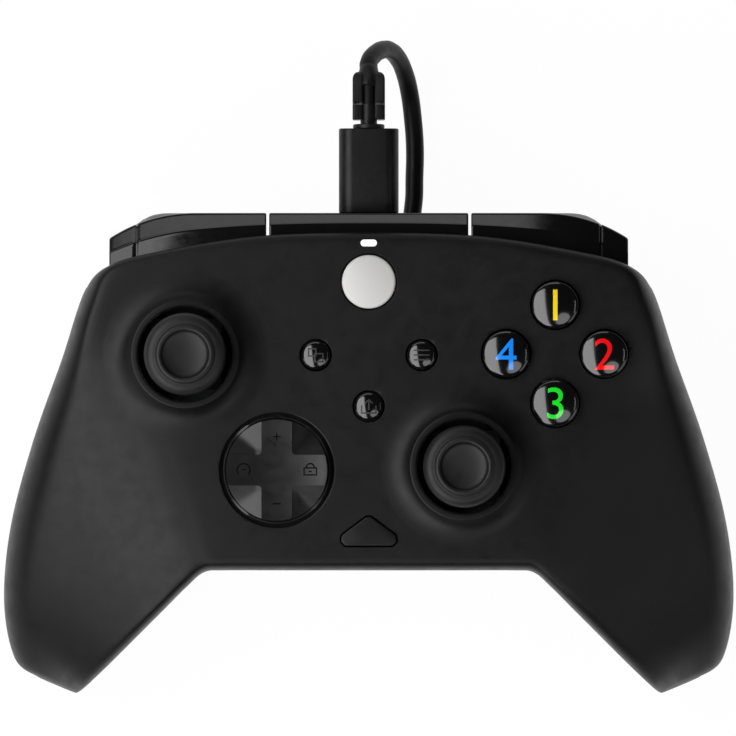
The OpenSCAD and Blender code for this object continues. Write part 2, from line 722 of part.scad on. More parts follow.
module stick_cap() {
    color("#262627")
    translate([0, 0, face_z])
    difference() {
        rotate_extrude()
        polygon(concat(cap_shape, [[cap_r - 1, 12.2], [cap_r - 0.35, 11.6], [cap_r, 10.6], [cap_r, 9.5],
            [cap_r - 0.5, 8.6], [6.4, 7.6], [4.4, 7.1], [3, 6], [neck_r, 4.6], [neck_r, 1], [0, 1]]));
        cylinder(h = shaft_top - face_z, r = shaft_r + run_gap);
    }
}
module left_stick_base() {
    at(left_stick) stick_base();
}
module left_stick_yoke() {
    at(left_stick) stick_yoke();
}
module left_stick_pivot() {
    at(left_stick) stick_pivot();
}
module left_stick_shaft() {
    at(left_stick) stick_shaft();
}
module left_stick_cap() {
    at(left_stick) stick_cap();
}
module right_stick_base() {
    at(right_stick) stick_base();
}
module right_stick_yoke() {
    at(right_stick) stick_yoke();
}
module right_stick_pivot() {
    at(right_stick) stick_pivot();
}
module right_stick_shaft() {
    at(right_stick) stick_shaft();
}
module right_stick_cap() {
    at(right_stick) stick_cap();
}

// Direction pad
ball_r = 1.8;
ball_z = board_top + 7.4;
pad_low = ball_z + 1.8;
pad_flange_top = under_face - 1.8;
pad_top = face_z + 0.9;
arm_h = 1.2;
plunge_at = 8;
pad_edge_r = dpad_r - 0.4;
collar_z = face_z - 0.8;
dish_r = 60;
dish_low = pad_top - 0.2;
// Pit in each quarter: two slopes that meet under the diagonal
pit_top = dish_low + 0.05;
pit_slope = 0.55;
pit_reach = 9.5;
module pad_pit() {
    a = arm_w / 2;
    b = a + pit_reach;
    polyhedron([[a, a, pit_top], [b, a, pit_top], [b, b, pit_top - pit_slope * pit_reach], [a, b, pit_top],
        [a, a, pit_top + 5], [b, a, pit_top + 5], [b, b, pit_top + 5], [a, b, pit_top + 5]],
        [[0, 1, 2], [0, 2, 3], [7, 6, 5, 4], [4, 5, 1, 0], [5, 6, 2, 1], [6, 7, 3, 2], [7, 4, 0, 3]]);
}
pad_dome_top = board_top + sheet_t + 3.6;
module dpad_cap() {
    color("#2b2b2c")
    at(dpad_at)
    difference() {
        union() {
            rotate_extrude()
            polygon([[0, pad_low], [dpad_r + 1.9, pad_low], [dpad_r + 1.9, pad_flange_top],
                [dpad_r, pad_flange_top], [dpad_r, collar_z], [pad_edge_r, collar_z],
                [pad_edge_r, pad_top + arm_h], [0, pad_top + arm_h]]);
            translate([0, 0, ball_z + 0.7]) cylinder(h = pad_low - ball_z, r = 2.6);
            for (d = step_dirs) at(d * plunge_at, pad_dome_top + rest_gap)
                cylinder(h = pad_low + 0.5 - pad_dome_top - rest_gap, r = 1.8);
        }
        translate([0, 0, dish_low + dish_r]) sphere(r = dish_r, $fn = 64);
        for (a = [0, 90, 180, 270]) rotate([0, 0, a]) pad_pit();
        translate([0, 0, ball_z]) sphere(r = ball_r + run_gap);
    }
}
module dpad_ball() {
    color("#c9ccd0")
    at(dpad_at, ball_z) sphere(r = ball_r);
}
module dpad_post() {
    color("#d8d8d6")
    at(dpad_at)
    difference() {
        translate([0, 0, board_top]) cylinder(h = ball_z - 0.7 - board_top, r = 2.6);
        translate([0, 0, ball_z]) sphere(r = ball_r + run_gap);
    }
}
module dpad_membrane() {
    color("#9ea3a8")
    at(dpad_at, board_top)
    difference() {
        union() {
            cylinder(h = sheet_t, r = 11.5);
            for (d = step_dirs) at(d * plunge_at) cylinder(h = pad_dome_top - board_top, r1 = 3.2, r2 = 2.4);
        }
        translate([0, 0, -1]) cylinder(h = 5, r = 2.9);
    }
}

// Buttons: a domed key with two tabs under the face and a stem down to low
module key(r, edge, dome, low, stem_r) {
    top_f = under_face - flange_gap;
    union() {
        rotate_extrude()
        polygon([[0, low], [stem_r, low], [stem_r, top_f - flange_t], [r, top_f - flange_t],
            [r, face_z + edge - 0.4], [r - 0.15, face_z + edge - 0.1],
            [r - 0.5, face_z + edge + dome * 0.18], [r * 0.7, face_z + edge + dome * 0.6],
            [r * 0.36, face_z + edge + dome * 0.9], [0, face_z + edge + dome]]);
        translate([-r - flange_w, -flange_d / 2, top_f - flange_t])
        cube([2 * (r + flange_w), flange_d, flange_t]);
    }
}
key_edge = face_key_travel + 0.5;
key_dome = 1.1;
key_stem_r = 2.6;
module face_key(i) {
    color("#111112")
    at(face_key_at(i)) key(face_key_r, key_edge, key_dome, dome_top + rest_gap, key_stem_r);
}
module top_button() {
    face_key(0);
}
module right_button() {
    face_key(1);
}
module bottom_button() {
    face_key(2);
}
module left_button() {
    face_key(3);
}
module dome(p) {
    at(p, board_top) cylinder(h = dome_top - board_top, r1 = 3.3, r2 = 2.4);
}
module face_membrane() {
    color("#9ea3a8")
    union() {
        for (i = [0:3]) {
            at(face_key_at(i), board_top) cylinder(h = sheet_t, r = 4.4);
            dome(face_key_at(i));
        }
        at(cluster, board_top) translate([-cluster_step, -2.5, 0]) cube([2 * cluster_step, 5, sheet_t]);
        at(cluster, board_top) translate([-2.5, -cluster_step, 0]) cube([5, 2 * cluster_step, sheet_t]);
    }
}
switch_top = board_top + 3.6;
switch_gap = 0.75;
module guide_button() {
    color("#a7a8aa")
    at(guide_at) key(guide_r, 0.5, 0.7, switch_top + switch_gap, 1.8);
}
module small_key(p) {
    color("#0f0f10")
    at(p) key(small_key_r, 0.7, 0.5, dome_top + rest_gap, 2);
}
module view_button() {
    small_key(view_at);
}
module menu_button() {
    small_key(menu_at);
}
module share_button() {
    small_key(share_at);
}
module center_membrane() {
    color("#9ea3a8")
    union() {
        for (p = [view_at, menu_at, share_at]) {
            at(p, board_top) cylinder(h = sheet_t, r = 4);
            dome(p);
        }
        translate([view_at[0], view_at[1] - 2, board_top]) cube([menu_at[0] - view_at[0], 4, sheet_t]);
        translate([-2, share_at[1], board_top]) cube([4, view_at[1] - share_at[1], sheet_t]);
    }
}
module function_button() {
    color("#242425")
    at(function_at)
    union() {
        translate([0, 0, under_face - flange_gap - 0.1])
        linear_extrude(face_z + 0.6 - under_face + flange_gap + 0.1)
        polygon(tri_outline(0));
        translate([-tri_tab_w / 2, -tri_tab_d / 2, under_face - flange_gap - flange_t])
        cube([tri_tab_w, tri_tab_d, flange_t]);
        translate([0, 0, switch_top + switch_gap])
        cylinder(h = under_face - flange_gap - 0.5 - switch_top - switch_gap, r = 1.6);
    }
}
module led_lens() {
    color("#f4f6fa")
    at(led_at)
    union() {
        translate([0, 0, face_z - lip_t]) linear_extrude(lip_t + 0.15) polygon(pill_outline(led_w, led_d));
    }
}
module tact_switch() {
    translate([-3, -3, 0]) cube([6, 6, 2.6]);
    translate([0, 0, 2.5]) cylinder(h = switch_top - board_top - 2.5, r = 1.7);
}
module tact_switches() {
    color("#55585c")
    union() {
        at(guide_at, board_top) tact_switch();
        at(function_at, board_top) tact_switch();
    }
}

// Sockets
module usb_socket() {
    color("#b3b6ba")
    translate([0, 49.6 * ky, usb_z])
    rotate([90, 0, 0])
    difference() {
        linear_extrude(7.4) polygon(rounded(box_outline(usb_w, usb_h), 1.4, 5));
        translate([0, 0, -1])
        linear_extrude(7.6)
        polygon(rounded(box_outline(usb_w - 0.5, usb_h - 0.5), 1.2, 5));
    }
}
module headset_jack() {
    color("#2a2b2d")
    difference() {
        union() {
            translate([-jack_w / 2, jack_y, jack_z - 3.4]) cube([jack_w, jack_l, seam_z - jack_z + 3.4]);
            translate([0, jack_y + 1, jack_z])
            rotate([90, 0, 0])
            cylinder(h = jack_y + 1 - jack_nose_y, r = jack_nose_r);
        }
        translate([0, jack_nose_y + jack_bore_l, jack_z])
        rotate([90, 0, 0])
        cylinder(h = jack_bore_l + 2, r = jack_bore_r);
    }
}

// Rumble motors with off-centre weights
motor_l = 11;
weight_z = motor_pad_z + motor_l + 1.2;
module rumble_motor() {
    color("#a4a7ab")
    difference() {
        union() {
            translate([0, 0, motor_pad_z]) cylinder(h = motor_l, r = motor_r);
            translate([0, 0, motor_pad_z + motor_l - 0.5]) cylinder(h = 1.2, r = 2.4);
        }
        translate([0, 0, motor_pad_z + 2]) cylinder(h = 20, r = 1 + run_gap);
    }
}
module rumble_weight(r) {
    color("#77797c")
    union() {
        translate([0, 0, motor_pad_z + 3]) cylinder(h = weight_z + 5 - motor_pad_z - 3, r = 1);
        translate([0, 0, weight_z])
        difference() {
            cylinder(h = 5, r = r);
            translate([-20, 1.6, -1]) cube([40, 20, 10]);
        }
    }
}
module left_rumble_motor() {
    at(motor_spots[0]) rumble_motor();
}
module right_rumble_motor() {
    at(motor_spots[1]) rumble_motor();
}
module left_rumble_weight() {
    at(motor_spots[0]) rumble_weight(8);
}
module right_rumble_weight() {
    at(motor_spots[1]) rumble_weight(6.5);
}

// Screws
module shell_screws() {
    color("#6d7075")
    for (p = screw_spots) {
        at(p, head_z - head_t) cylinder(h = head_t, r = head_r);
        at(p, head_z - 0.2) cylinder(h = face_z - 6 - head_z, r = screw_r);
    }
}
module board_screws() {
    color("#8d9094")
    for (p = board_spots) {
        at(p, board_top) cylinder(h = 1.3, r = 1.9);
        at(p, frame_z + 2) cylinder(h = board_top + 0.2 - frame_z - 2, r = 0.8);
    }
}

// Plug at the pad
plug_front = strip_mid * ky + 0.2;
plug_l = 17.5;
plug_h = 6.4;
module plug_body() {
    color("#1c1c1d")
    translate([0, plug_front + plug_l, usb_z])
    rotate([90, 0, 0])
    linear_extrude(plug_l)
    polygon(rounded(box_outline(2 * plug_half, plug_h), 2.2, 6));
}
module plug_tip() {
    color("#c6c9cc")
    translate([0, plug_front, usb_z])
    rotate([90, 0, 0])
    linear_extrude(6.4)
    polygon(rounded(box_outline(8.25, 2.5), 1.1, 5));
}

// Strain relief: bend angle and radius along it
relief_bend = 17.4;
relief_steps = [[0, 3.1], [2, 3.1], [3.5, 2.1], [7, 2.1], [8.5, 3.2], [11, 3.35], [19, 3.35], [20.5, 2.9],
    [22, 3.35], [26, 3.35], [27.5, 2.9], [29, 3.35], [37, 3.35], [41, 3.1], [43.5, 2.7], [45, 2.15]];
relief_y = plug_front + plug_l;
relief_sides = 16;
function ring_about(c, way, r, n) =
    let (side = unit(cross(way, abs(way[2]) > 0.9 ? [1, 0, 0] : [0, 0, 1])), up = cross(side, way))
    [for (k = [0:n - 1]) c + r * (side * cos(360 * k / n) + up * sin(360 * k / n))];
function relief_at(a) = [0, relief_y + relief_bend * sin(a), usb_z - relief_bend * (1 - cos(a))];
module strain_relief() {
    color("#1c1c1d")
    loft([for (s = relief_steps)
        ring_about(relief_at(s[0]), [0, cos(s[0]), -sin(s[0])], s[1], relief_sides)]);
}

// Cord route from the strain relief to the coil, then from the coil to the far plug
floor_cord = cord_d / 2;
coil_c = [0, 7.5];
far_x = 41;
far_y = -9.6;
far_h = 7.6;
far_w = 15.4;
lead_start = relief_at(45);
lead_route = [lead_start, lead_start + [0, 1.5, -1.5], [1.2, relief_y + 15.6, 23.4],
    [2.6, relief_y + 16.5, 20], [4.2, relief_y + 16.6, 16.2], [5.9, relief_y + 15.2, 11.8],
    [7.4, relief_y + 12.2, 7.4], [8.5, relief_y + 8, 4], [9.3, relief_y + 2, 2.2],
    [9.7, 64, floor_cord], [9.6, 58, floor_cord], [9.4, 52.4, floor_cord], [8.1, 46.2, floor_cord],
    [4.5, 40.9, floor_cord], [-1.1, 37.4, 2.1], [-9.8, 34.3, 2.4]];
tail_route = [[-3, -20.8, 13.8], [4, -21, 13.5], [12, -21, 12.2], [21, -21, 10], [29.4, -21, 7.4],
    [35.2, -19.6, 5.6], [39.4, -16.2, 4.4], [far_x, far_y - 3, far_h / 2], [far_x, far_y, far_h / 2]];
cord_sides = 8;
ring_step = 0.5;
function route_way(route, t) =
    unit(spline(route, min(len(route) - 1, t + 0.05)) - spline(route, max(0, t - 0.05)));
module tube(route) {
    loft([for (t = [0:ring_step:len(route) - 1])
        ring_about(spline(route, t), route_way(route, t), cord_d / 2, cord_sides)]);
}
module cord_lead() {
    color("#1a1a1b") tube(lead_route);
}
module cord_tail() {
    color("#1a1a1b") tube(tail_route);
}
coil_in = 4 * cord_d;
coil_side = 4 * cord_d;
coil_low = 0.5;
module cord_coil() {
    color("#1a1a1b")
    at(coil_c, coil_low)
    rotate_extrude()
    translate([coil_in + coil_side / 2, coil_side / 2])
    polygon(rounded(box_outline(coil_side, coil_side), cord_d / 2, 4));
}
strap_t = 0.5;
module coil_tie() {
    color("#333334")
    at(coil_c)
    rotate([0, 0, 172])
    rotate_extrude(angle = 16)
    translate([coil_in + coil_side / 2, coil_low + coil_side / 2])
    difference() {
        square([coil_side + 2 * strap_t, coil_side + 2 * strap_t], center = true);
        square([coil_side + 0.02, coil_side + 0.02], center = true);
    }
}

// Plug at the far end
module far_plug_body() {
    color("#1c1c1d")
    union() {
        translate([far_x, far_y, far_h / 2]) rotate([-90, 0, 0]) cylinder(h = 6.5, r1 = 2.6, r2 = 3.4);
        translate([far_x, far_y + 26, far_h / 2])
        rotate([90, 0, 0])
        linear_extrude(20)
        polygon(rounded(box_outline(far_w, far_h), 2, 5));
    }
}
module far_plug_shell() {
    color("#c6c9cc")
    translate([far_x, far_y + 38, far_h / 2])
    rotate([90, 0, 0])
    difference() {
        linear_extrude(12) polygon(box_outline(12, 4.5));
        translate([0, 0, -1]) linear_extrude(10) polygon(box_outline(11.4, 3.9));
    }
}

front_shell();
back_shell();
bridge();
left_bumper();
right_bumper();
left_trigger();
right_trigger();
left_trigger_pin();
right_trigger_pin();
left_trigger_spring();
right_trigger_spring();
mid_frame();
main_board();
left_stick_base();
left_stick_yoke();
left_stick_pivot();
left_stick_shaft();
left_stick_cap();
right_stick_base();
right_stick_yoke();
right_stick_pivot();
right_stick_shaft();
right_stick_cap();
dpad_cap();
dpad_ball();
dpad_post();
dpad_membrane();
top_button();
right_button();
bottom_button();
left_button();
face_membrane();
guide_button();
view_button();
menu_button();
share_button();
center_membrane();
function_button();
led_lens();
tact_switches();
usb_socket();
headset_jack();
left_rumble_motor();
right_rumble_motor();
left_rumble_weight();
right_rumble_weight();
shell_screws();
board_screws();
plug_body();
plug_tip();
strain_relief();
cord_lead();
cord_coil();
coil_tie();
cord_tail();
far_plug_body();
far_plug_shell();
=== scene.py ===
import bmesh
import bpy
import math
import numpy as np
from mathutils import Matrix, Vector
from mathutils.bvhtree import BVHTree


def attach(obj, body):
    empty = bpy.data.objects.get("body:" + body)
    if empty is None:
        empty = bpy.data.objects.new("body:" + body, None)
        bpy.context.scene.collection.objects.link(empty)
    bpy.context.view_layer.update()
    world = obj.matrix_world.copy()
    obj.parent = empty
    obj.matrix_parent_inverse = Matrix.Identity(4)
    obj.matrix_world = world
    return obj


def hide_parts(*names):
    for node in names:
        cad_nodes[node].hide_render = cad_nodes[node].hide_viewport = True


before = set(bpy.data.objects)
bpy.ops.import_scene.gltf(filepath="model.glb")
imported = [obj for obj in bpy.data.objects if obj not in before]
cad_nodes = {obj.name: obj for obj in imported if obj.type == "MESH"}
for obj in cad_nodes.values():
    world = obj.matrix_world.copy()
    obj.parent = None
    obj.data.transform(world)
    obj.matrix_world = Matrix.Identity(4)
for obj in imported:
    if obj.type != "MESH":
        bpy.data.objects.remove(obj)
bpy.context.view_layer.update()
scene = bpy.context.scene
scene.view_settings.view_transform = "Standard"

# Shapes are drawn in millimetres and scaled to metres when a piece is finished
MM = 0.001

# Main heights and edges of the pad
FACE_Z = 46.0
SEAM_Z = 30.0
BELLY_Z = 17.0
WALL = 2.2
UNDER_FACE = FACE_Z - WALL
LIP_OVER = 4.2
LIP_T = 2.9
STRIP_TOP = FACE_Z - LIP_T - 0.5
STRIP_LOW = FACE_Z - 11.6
STRIP_T = 1.9
BRIDGE_HALF = 20.8
BUMPER_START = 21.4
BUMPER_END = 54.2
BOARD_TOP = 31.6
USB_Z = 33.23

# Where the controls stand
LEFT_STICK = (-38.3, 20.8)
RIGHT_STICK = (19.9, -2.6)
DPAD = (-19.2, -3.4)
CLUSTER = (38.9, 20.8)
CLUSTER_STEP = 10.25
GUIDE = (0.0, 35.9)
LED = (0.0, 44.0)
FUNCTION = (0.0, -16.0)
SMALL_KEYS = {"view": (-11.05, 20.6), "menu": (11.05, 20.6), "share": (0.0, 9.9)}
FACE_KEYS = {"top": (0, 1), "right": (1, 0), "bottom": (0, -1), "left": (-1, 0)}
SIDES = {"right": 1, "left": -1}
WELL_R = 9.85
RIM_H = 2.5
KEY_R = 4.9
GUIDE_R = 5.6
SMALL_R = 3.05
KEY_GAP = 0.3
SCREWS = [(51.5, 29.5), (-51.5, 29.5), (27.5, -18.0), (-27.5, -18.0)]

# Camera straight above the pad, with a long lens
camera_data = bpy.data.cameras.new("photo_camera")
camera_data.sensor_width = 36
camera_data.lens = 1404
camera_data.clip_end = 30
camera = bpy.data.objects.new("photo_camera", camera_data)
camera.location = (-0.16 * MM, 17.9 * MM, 6.035)
scene.collection.objects.link(camera)
scene.camera = camera


def mix(a, b, t):
    return a + (b - a) * t


def held(value):
    return min(1.0, max(0.0, value))


def smooth(t):
    t = held(t)
    return t * t * (3 - 2 * t)


def spline(rows, t):
    """A smooth curve through rows of values."""
    rows = np.asarray(rows, dtype=float)
    last = len(rows) - 1
    i = int(min(math.floor(t), last - 1))
    u = t - i
    a, b, c, d = rows[max(i - 1, 0)], rows[i], rows[i + 1], rows[min(i + 2, last)]
    return 0.5 * (2 * b + (c - a) * u + (2 * a - 5 * b + 4 * c - d) * u * u
                  + (3 * b - a - 3 * c + d) * u ** 3)


# Materials


def new_material(name):
    material = bpy.data.materials.new(name)
    material.use_nodes = True
    tree = material.node_tree
    shader = tree.nodes["Principled BSDF"]
    return material, tree, shader


def add_noise(tree, coords, scale, detail=3.0, roughness=0.55):
    noise = tree.nodes.new("ShaderNodeTexNoise")
    noise.inputs["Scale"].default_value = scale
    noise.inputs["Detail"].default_value = detail
    noise.inputs["Roughness"].default_value = roughness
    tree.links.new(coords, noise.inputs["Vector"])
    return noise.outputs["Fac"]


def add_range(tree, value, low, high, from_low=0.3, from_high=0.7):
    node = tree.nodes.new("ShaderNodeMapRange")
    node.inputs["From Min"].default_value = from_low
    node.inputs["From Max"].default_value = from_high
    node.inputs["To Min"].default_value = low
    node.inputs["To Max"].default_value = high
    tree.links.new(value, node.inputs["Value"])
    return node.outputs["Result"]


def add_colours(tree, factor, first, second):
    node = tree.nodes.new("ShaderNodeMix")
    node.data_type = "RGBA"
    node.inputs["A"].default_value = (*first, 1)
    node.inputs["B"].default_value = (*second, 1)
    tree.links.new(factor, node.inputs["Factor"])
    return node.outputs["Result"]


def moulded(name, colour, roughness, grain=2600.0, bump=0.2, patch=60.0, spread=0.18, rough_spread=0.06,
            coat=0.0, specular=0.5, metallic=0.0):
    """A moulded finish: fine grain in the surface, soft patches in its colour and gloss."""
    material, tree, shader = new_material(name)
    coords = tree.nodes.new("ShaderNodeTexCoord").outputs["Object"]
    patches = add_noise(tree, coords, patch, 4.0)
    dark = tuple(c * (1 - spread) for c in colour)
    light = tuple(min(1.0, c * (1 + spread)) for c in colour)
    tint = add_range(tree, patches, 0.0, 1.0)
    tree.links.new(add_colours(tree, tint, dark, light), shader.inputs["Base Color"])
    marks = add_noise(tree, coords, patch * 5.3, 5.0, 0.65)
    gloss = add_range(tree, marks, max(0.02, roughness - rough_spread), roughness + rough_spread)
    tree.links.new(gloss, shader.inputs["Roughness"])
    grains = add_noise(tree, coords, grain, 2.0)
    relief = tree.nodes.new("ShaderNodeBump")
    relief.inputs["Strength"].default_value = bump
    relief.inputs["Distance"].default_value = 0.00006
    tree.links.new(grains, relief.inputs["Height"])
    tree.links.new(relief.outputs["Normal"], shader.inputs["Normal"])
    shader.inputs["Specular IOR Level"].default_value = specular
    shader.inputs["Metallic"].default_value = metallic
    shader.inputs["Coat Weight"].default_value = coat
    shader.inputs["Coat Roughness"].default_value = 0.06
    return material


def grey(level, warm=0.0):
    return (level * (1 + warm), level, level * (1 - warm))


shell_plastic = moulded("matte_shell_plastic", grey(0.003, 0.02), 0.43, grain=2300, bump=0.2, specular=0.2)
back_plastic = moulded("matte_back_plastic", grey(0.003, 0.02), 0.46, grain=2300, bump=0.25, specular=0.2)
strip_plastic = moulded("glossy_strip_plastic", grey(0.003), 0.13, grain=900, bump=0.02, patch=90,
                        rough_spread=0.04, specular=0.35)
trigger_plastic = moulded("matte_trigger_plastic", grey(0.010), 0.42, grain=2300, bump=0.25)
stick_rubber = moulded("stick_rubber", grey(0.007), 0.44, grain=1500, bump=0.35, specular=0.24)
pad_plastic = moulded("satin_pad_plastic", grey(0.005), 0.32, grain=2400, bump=0.12, specular=0.36)
key_plastic = moulded("glossy_key_plastic", grey(0.0015), 0.13, grain=700, bump=0.015, rough_spread=0.03,
                      coat=0.35)
guide_plastic = moulded("silver_grey_disc_plastic", grey(0.47, 0.01), 0.42, grain=3000, bump=0.18,
                        spread=0.05)
function_plastic = moulded("satin_function_key_plastic", grey(0.004), 0.4, grain=2400, bump=0.25,
                           specular=0.22)
mark_plastic = moulded("dark_mark_print", grey(0.001), 0.8, grain=3000, bump=0.1, specular=0.06)
pale_mark = moulded("grey_mark_print", grey(0.03), 0.5, grain=3000, bump=0.1, specular=0.2)
plug_plastic = moulded("matte_plug_plastic", grey(0.0035), 0.4, grain=2200, bump=0.25, specular=0.22)
jacket = moulded("cord_jacket", grey(0.003), 0.44, grain=1600, bump=0.22, patch=120, specular=0.15)
tie_strap = moulded("tie_strap_weave", grey(0.02), 0.8, grain=900, bump=0.6)
laminate = moulded("dark_green_board_laminate", (0.003, 0.014, 0.007), 0.4, grain=500, bump=0.2, patch=300,
                   spread=0.4)
frame_plastic = moulded("inner_frame_plastic", grey(0.045), 0.5, grain=1800, bump=0.25)
steel = moulded("bright_steel", grey(0.58), 0.26, grain=1500, bump=0.015, metallic=1.0, spread=0.08)
dark_steel = moulded("blackened_screw_steel", grey(0.10), 0.35, grain=1500, bump=0.1, metallic=1.0)
silicone = moulded("grey_silicone", grey(0.30), 0.6, grain=1200, bump=0.2)
base_plastic = moulded("black_base_plastic", grey(0.0025), 0.8, grain=1500, bump=0.2, specular=0.1)
pale_plastic = moulded("pale_acetal", grey(0.62), 0.4, grain=1800, bump=0.1, spread=0.05)

NUMERAL_COLOURS = {"top": (0.80, 0.60, 0.012), "right": (0.76, 0.004, 0.006),
                   "bottom": (0.010, 0.66, 0.018), "left": (0.008, 0.22, 0.80)}
numeral_inks = {side: moulded(f"{side}_numeral_ink", ink, 0.16, grain=900, bump=0.03, spread=0.06, coat=0.5)
                for side, ink in NUMERAL_COLOURS.items()}


def lit_lens():
    material = moulded("white_lens_plastic", grey(0.80), 0.3, grain=2600, bump=0.05, spread=0.02)
    shader = material.node_tree.nodes["Principled BSDF"]
    shader.inputs["Emission Color"].default_value = (0.92, 0.97, 1.0, 1)
    shader.inputs["Emission Strength"].default_value = 0.45
    return material


lens_plastic = lit_lens()

# Making and joining shapes


def skin(rings, open_ends=False):
    """A closed skin over rings of points, made by shaping a grid."""
    count, around = len(rings), len(rings[0])
    bm = bmesh.new()
    bmesh.ops.create_grid(bm, x_segments=count - 1, y_segments=around, size=1)
    for vert in bm.verts:
        i = round((vert.co.x + 1) / 2 * (count - 1))
        j = round((vert.co.y + 1) / 2 * around) % around
        vert.co = rings[i][j]
    bmesh.ops.remove_doubles(bm, verts=bm.verts, dist=1e-4)
    if not open_ends:
        rim = [edge for edge in bm.edges if edge.is_boundary]
        bmesh.ops.holes_fill(bm, edges=rim, sides=0)
    bmesh.ops.recalc_face_normals(bm, faces=bm.faces)
    return bm


def turned(profile, at=(0, 0), steps=96):
    """A profile of radius and height turned all the way round an upright axis."""
    bm = bmesh.new()
    verts = [bm.verts.new((r, 0, z)) for r, z in profile]
    edges = [bm.edges.new(pair) for pair in zip(verts, verts[1:])]
    bmesh.ops.spin(bm, geom=verts + edges, cent=(0, 0, 0), axis=(0, 0, 1), angle=2 * math.pi, steps=steps,
                   use_merge=True)
    bmesh.ops.remove_doubles(bm, verts=bm.verts, dist=1e-4)
    bmesh.ops.recalc_face_normals(bm, faces=bm.faces)
    bmesh.ops.translate(bm, vec=(*at, 0), verts=bm.verts)
    return bm


def turned_ring(profile, at, steps=96):
    """A ring turned from a closed outline of radius and height."""
    return turned(list(profile) + [profile[0]], at, steps)


def block(low, high, edge=0.0, segments=2):
    """A box between two corners, with its edges rounded."""
    bm = bmesh.new()
    bmesh.ops.create_cube(bm, size=1)
    size = Vector(high) - Vector(low)
    bmesh.ops.scale(bm, vec=size, verts=bm.verts)
    bmesh.ops.translate(bm, vec=(Vector(low) + Vector(high)) / 2, verts=bm.verts)
    if edge:
        bmesh.ops.bevel(bm, geom=bm.edges[:], offset=edge, offset_type="OFFSET", affect="EDGES",
                        segments=segments, profile=0.5, material=-1)
    return bm


def prism(outline, low, high, edge=0.0, top_only=False):
    """A flat outline raised from one height to another, its rims rounded."""
    bm = bmesh.new()
    base = bm.faces.new([bm.verts.new((x, y, low)) for x, y in outline])
    raised = bmesh.ops.extrude_face_region(bm, geom=[base])
    moved = [g for g in raised["geom"] if isinstance(g, bmesh.types.BMVert)]
    bmesh.ops.translate(bm, vec=(0, 0, high - low), verts=moved)
    bmesh.ops.recalc_face_normals(bm, faces=bm.faces)
    if edge:
        rims = [e for e in bm.edges if abs(e.verts[0].co.z - e.verts[1].co.z) < 1e-6
                and (not top_only or e.verts[0].co.z > (low + high) / 2)]
        bmesh.ops.bevel(bm, geom=rims, offset=edge, offset_type="OFFSET", affect="EDGES", segments=3,
                        profile=0.5, material=-1)
    return bm


def turned_about(bm, matrix):
    bmesh.ops.transform(bm, matrix=matrix, verts=bm.verts)
    return bm


def along_y(outline, front, rear, edge, at=(0.0, 0.0)):
    """An outline of x and z carried along y from front to rear."""
    bm = prism(outline, front, rear, edge)
    turned_about(bm, Matrix(((1, 0, 0, at[0]), (0, 0, 1, 0), (0, 1, 0, at[1]), (0, 0, 0, 1))))
    bmesh.ops.recalc_face_normals(bm, faces=bm.faces)
    return bm


def across(outline, low, high):
    """An outline of y and z carried along x."""
    bm = prism(outline, low, high)
    turned_about(bm, Matrix(((0, 0, 1, 0), (1, 0, 0, 0), (0, 1, 0, 0), (0, 0, 0, 1))))
    bmesh.ops.recalc_face_normals(bm, faces=bm.faces)
    return bm


def on_side(bm, side):
    """A right-hand shape as it is, or mirrored for the left."""
    if side < 0:
        bmesh.ops.scale(bm, vec=(-1, 1, 1), verts=bm.verts)
        bmesh.ops.reverse_faces(bm, faces=bm.faces)
    return bm


def join(*shapes):
    """Several shapes as one mesh."""
    whole = bmesh.new()
    for shape in shapes:
        mesh = bpy.data.meshes.new("joining")
        shape.to_mesh(mesh)
        shape.free()
        whole.from_mesh(mesh)
        bpy.data.meshes.remove(mesh)
    return whole


def as_object(bm, name):
    mesh = bpy.data.meshes.new(name)
    bm.to_mesh(mesh)
    bm.free()
    thing = bpy.data.objects.new(name, mesh)
    scene.collection.objects.link(thing)
    return thing


def carve(bm, tool, operation="DIFFERENCE"):
    """One shape cut from another, or added to it."""
    target, cutter = as_object(bm, "carved"), as_object(tool, "cutter")
    cut = target.modifiers.new("cut", "BOOLEAN")
    cut.operation = operation
    cut.solver = "EXACT"
    cut.use_self = True
    cut.object = cutter
    graph = bpy.context.evaluated_depsgraph_get()
    mesh = bpy.data.meshes.new_from_object(target.evaluated_get(graph))
    result = bmesh.new()
    result.from_mesh(mesh)
    for thing in (target, cutter):
        data = thing.data
        bpy.data.objects.remove(thing)
        bpy.data.meshes.remove(data)
    bpy.data.meshes.remove(mesh)
    return result


def finish_piece(name, bm, material, body, stands_for=(), crease=40, weighted=False):
    """The finished piece in metres, smooth up to its creases, riding on its body."""
    bmesh.ops.scale(bm, vec=(MM, MM, MM), verts=bm.verts)
    for face in bm.faces:
        face.smooth = True
    for edge in bm.edges:
        edge.smooth = edge.calc_face_angle(0.0) < math.radians(crease)
    piece = as_object(bm, name)
    piece.data.materials.clear()
    piece.data.materials.append(material)
    if weighted:
        normals = piece.modifiers.new("even_shading", "WEIGHTED_NORMAL")
        normals.keep_sharp = True
    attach(piece, body)
    if stands_for:
        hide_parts(*stands_for)
    return piece


# Cord: the way from the strain relief to the coil, the coil, the way to the far plug
CORD_D = 3.8
RELIEF_Y = 68.0
RELIEF_BEND = 17.4
FAR_X = 41.0
FAR_Y = -9.6
FAR_H = 7.6
FAR_W = 15.4
COIL_AT = (0.0, 7.5)
COIL_OUT = 28.5
COIL_LOW = 2.4
COIL_FROM = 110.0
COIL_TURNS = 13.4278
POINTS_PER_TURN = 18
COIL_STEP = 0.25
# Turns at which the winding begins to step to the next radius or to climb to the next layer
STEPS_IN_OUT = [(0.75, -1), (1.75, -1), (2.75, -1), (4.25, 1), (5.25, 1), (6.25, 1),
                (7.75, -1), (8.75, -1), (9.75, -1), (11.15, 1), (12.15, 1), (13.15, 1)]
CLIMBS = [3.5, 7.0, 10.5]


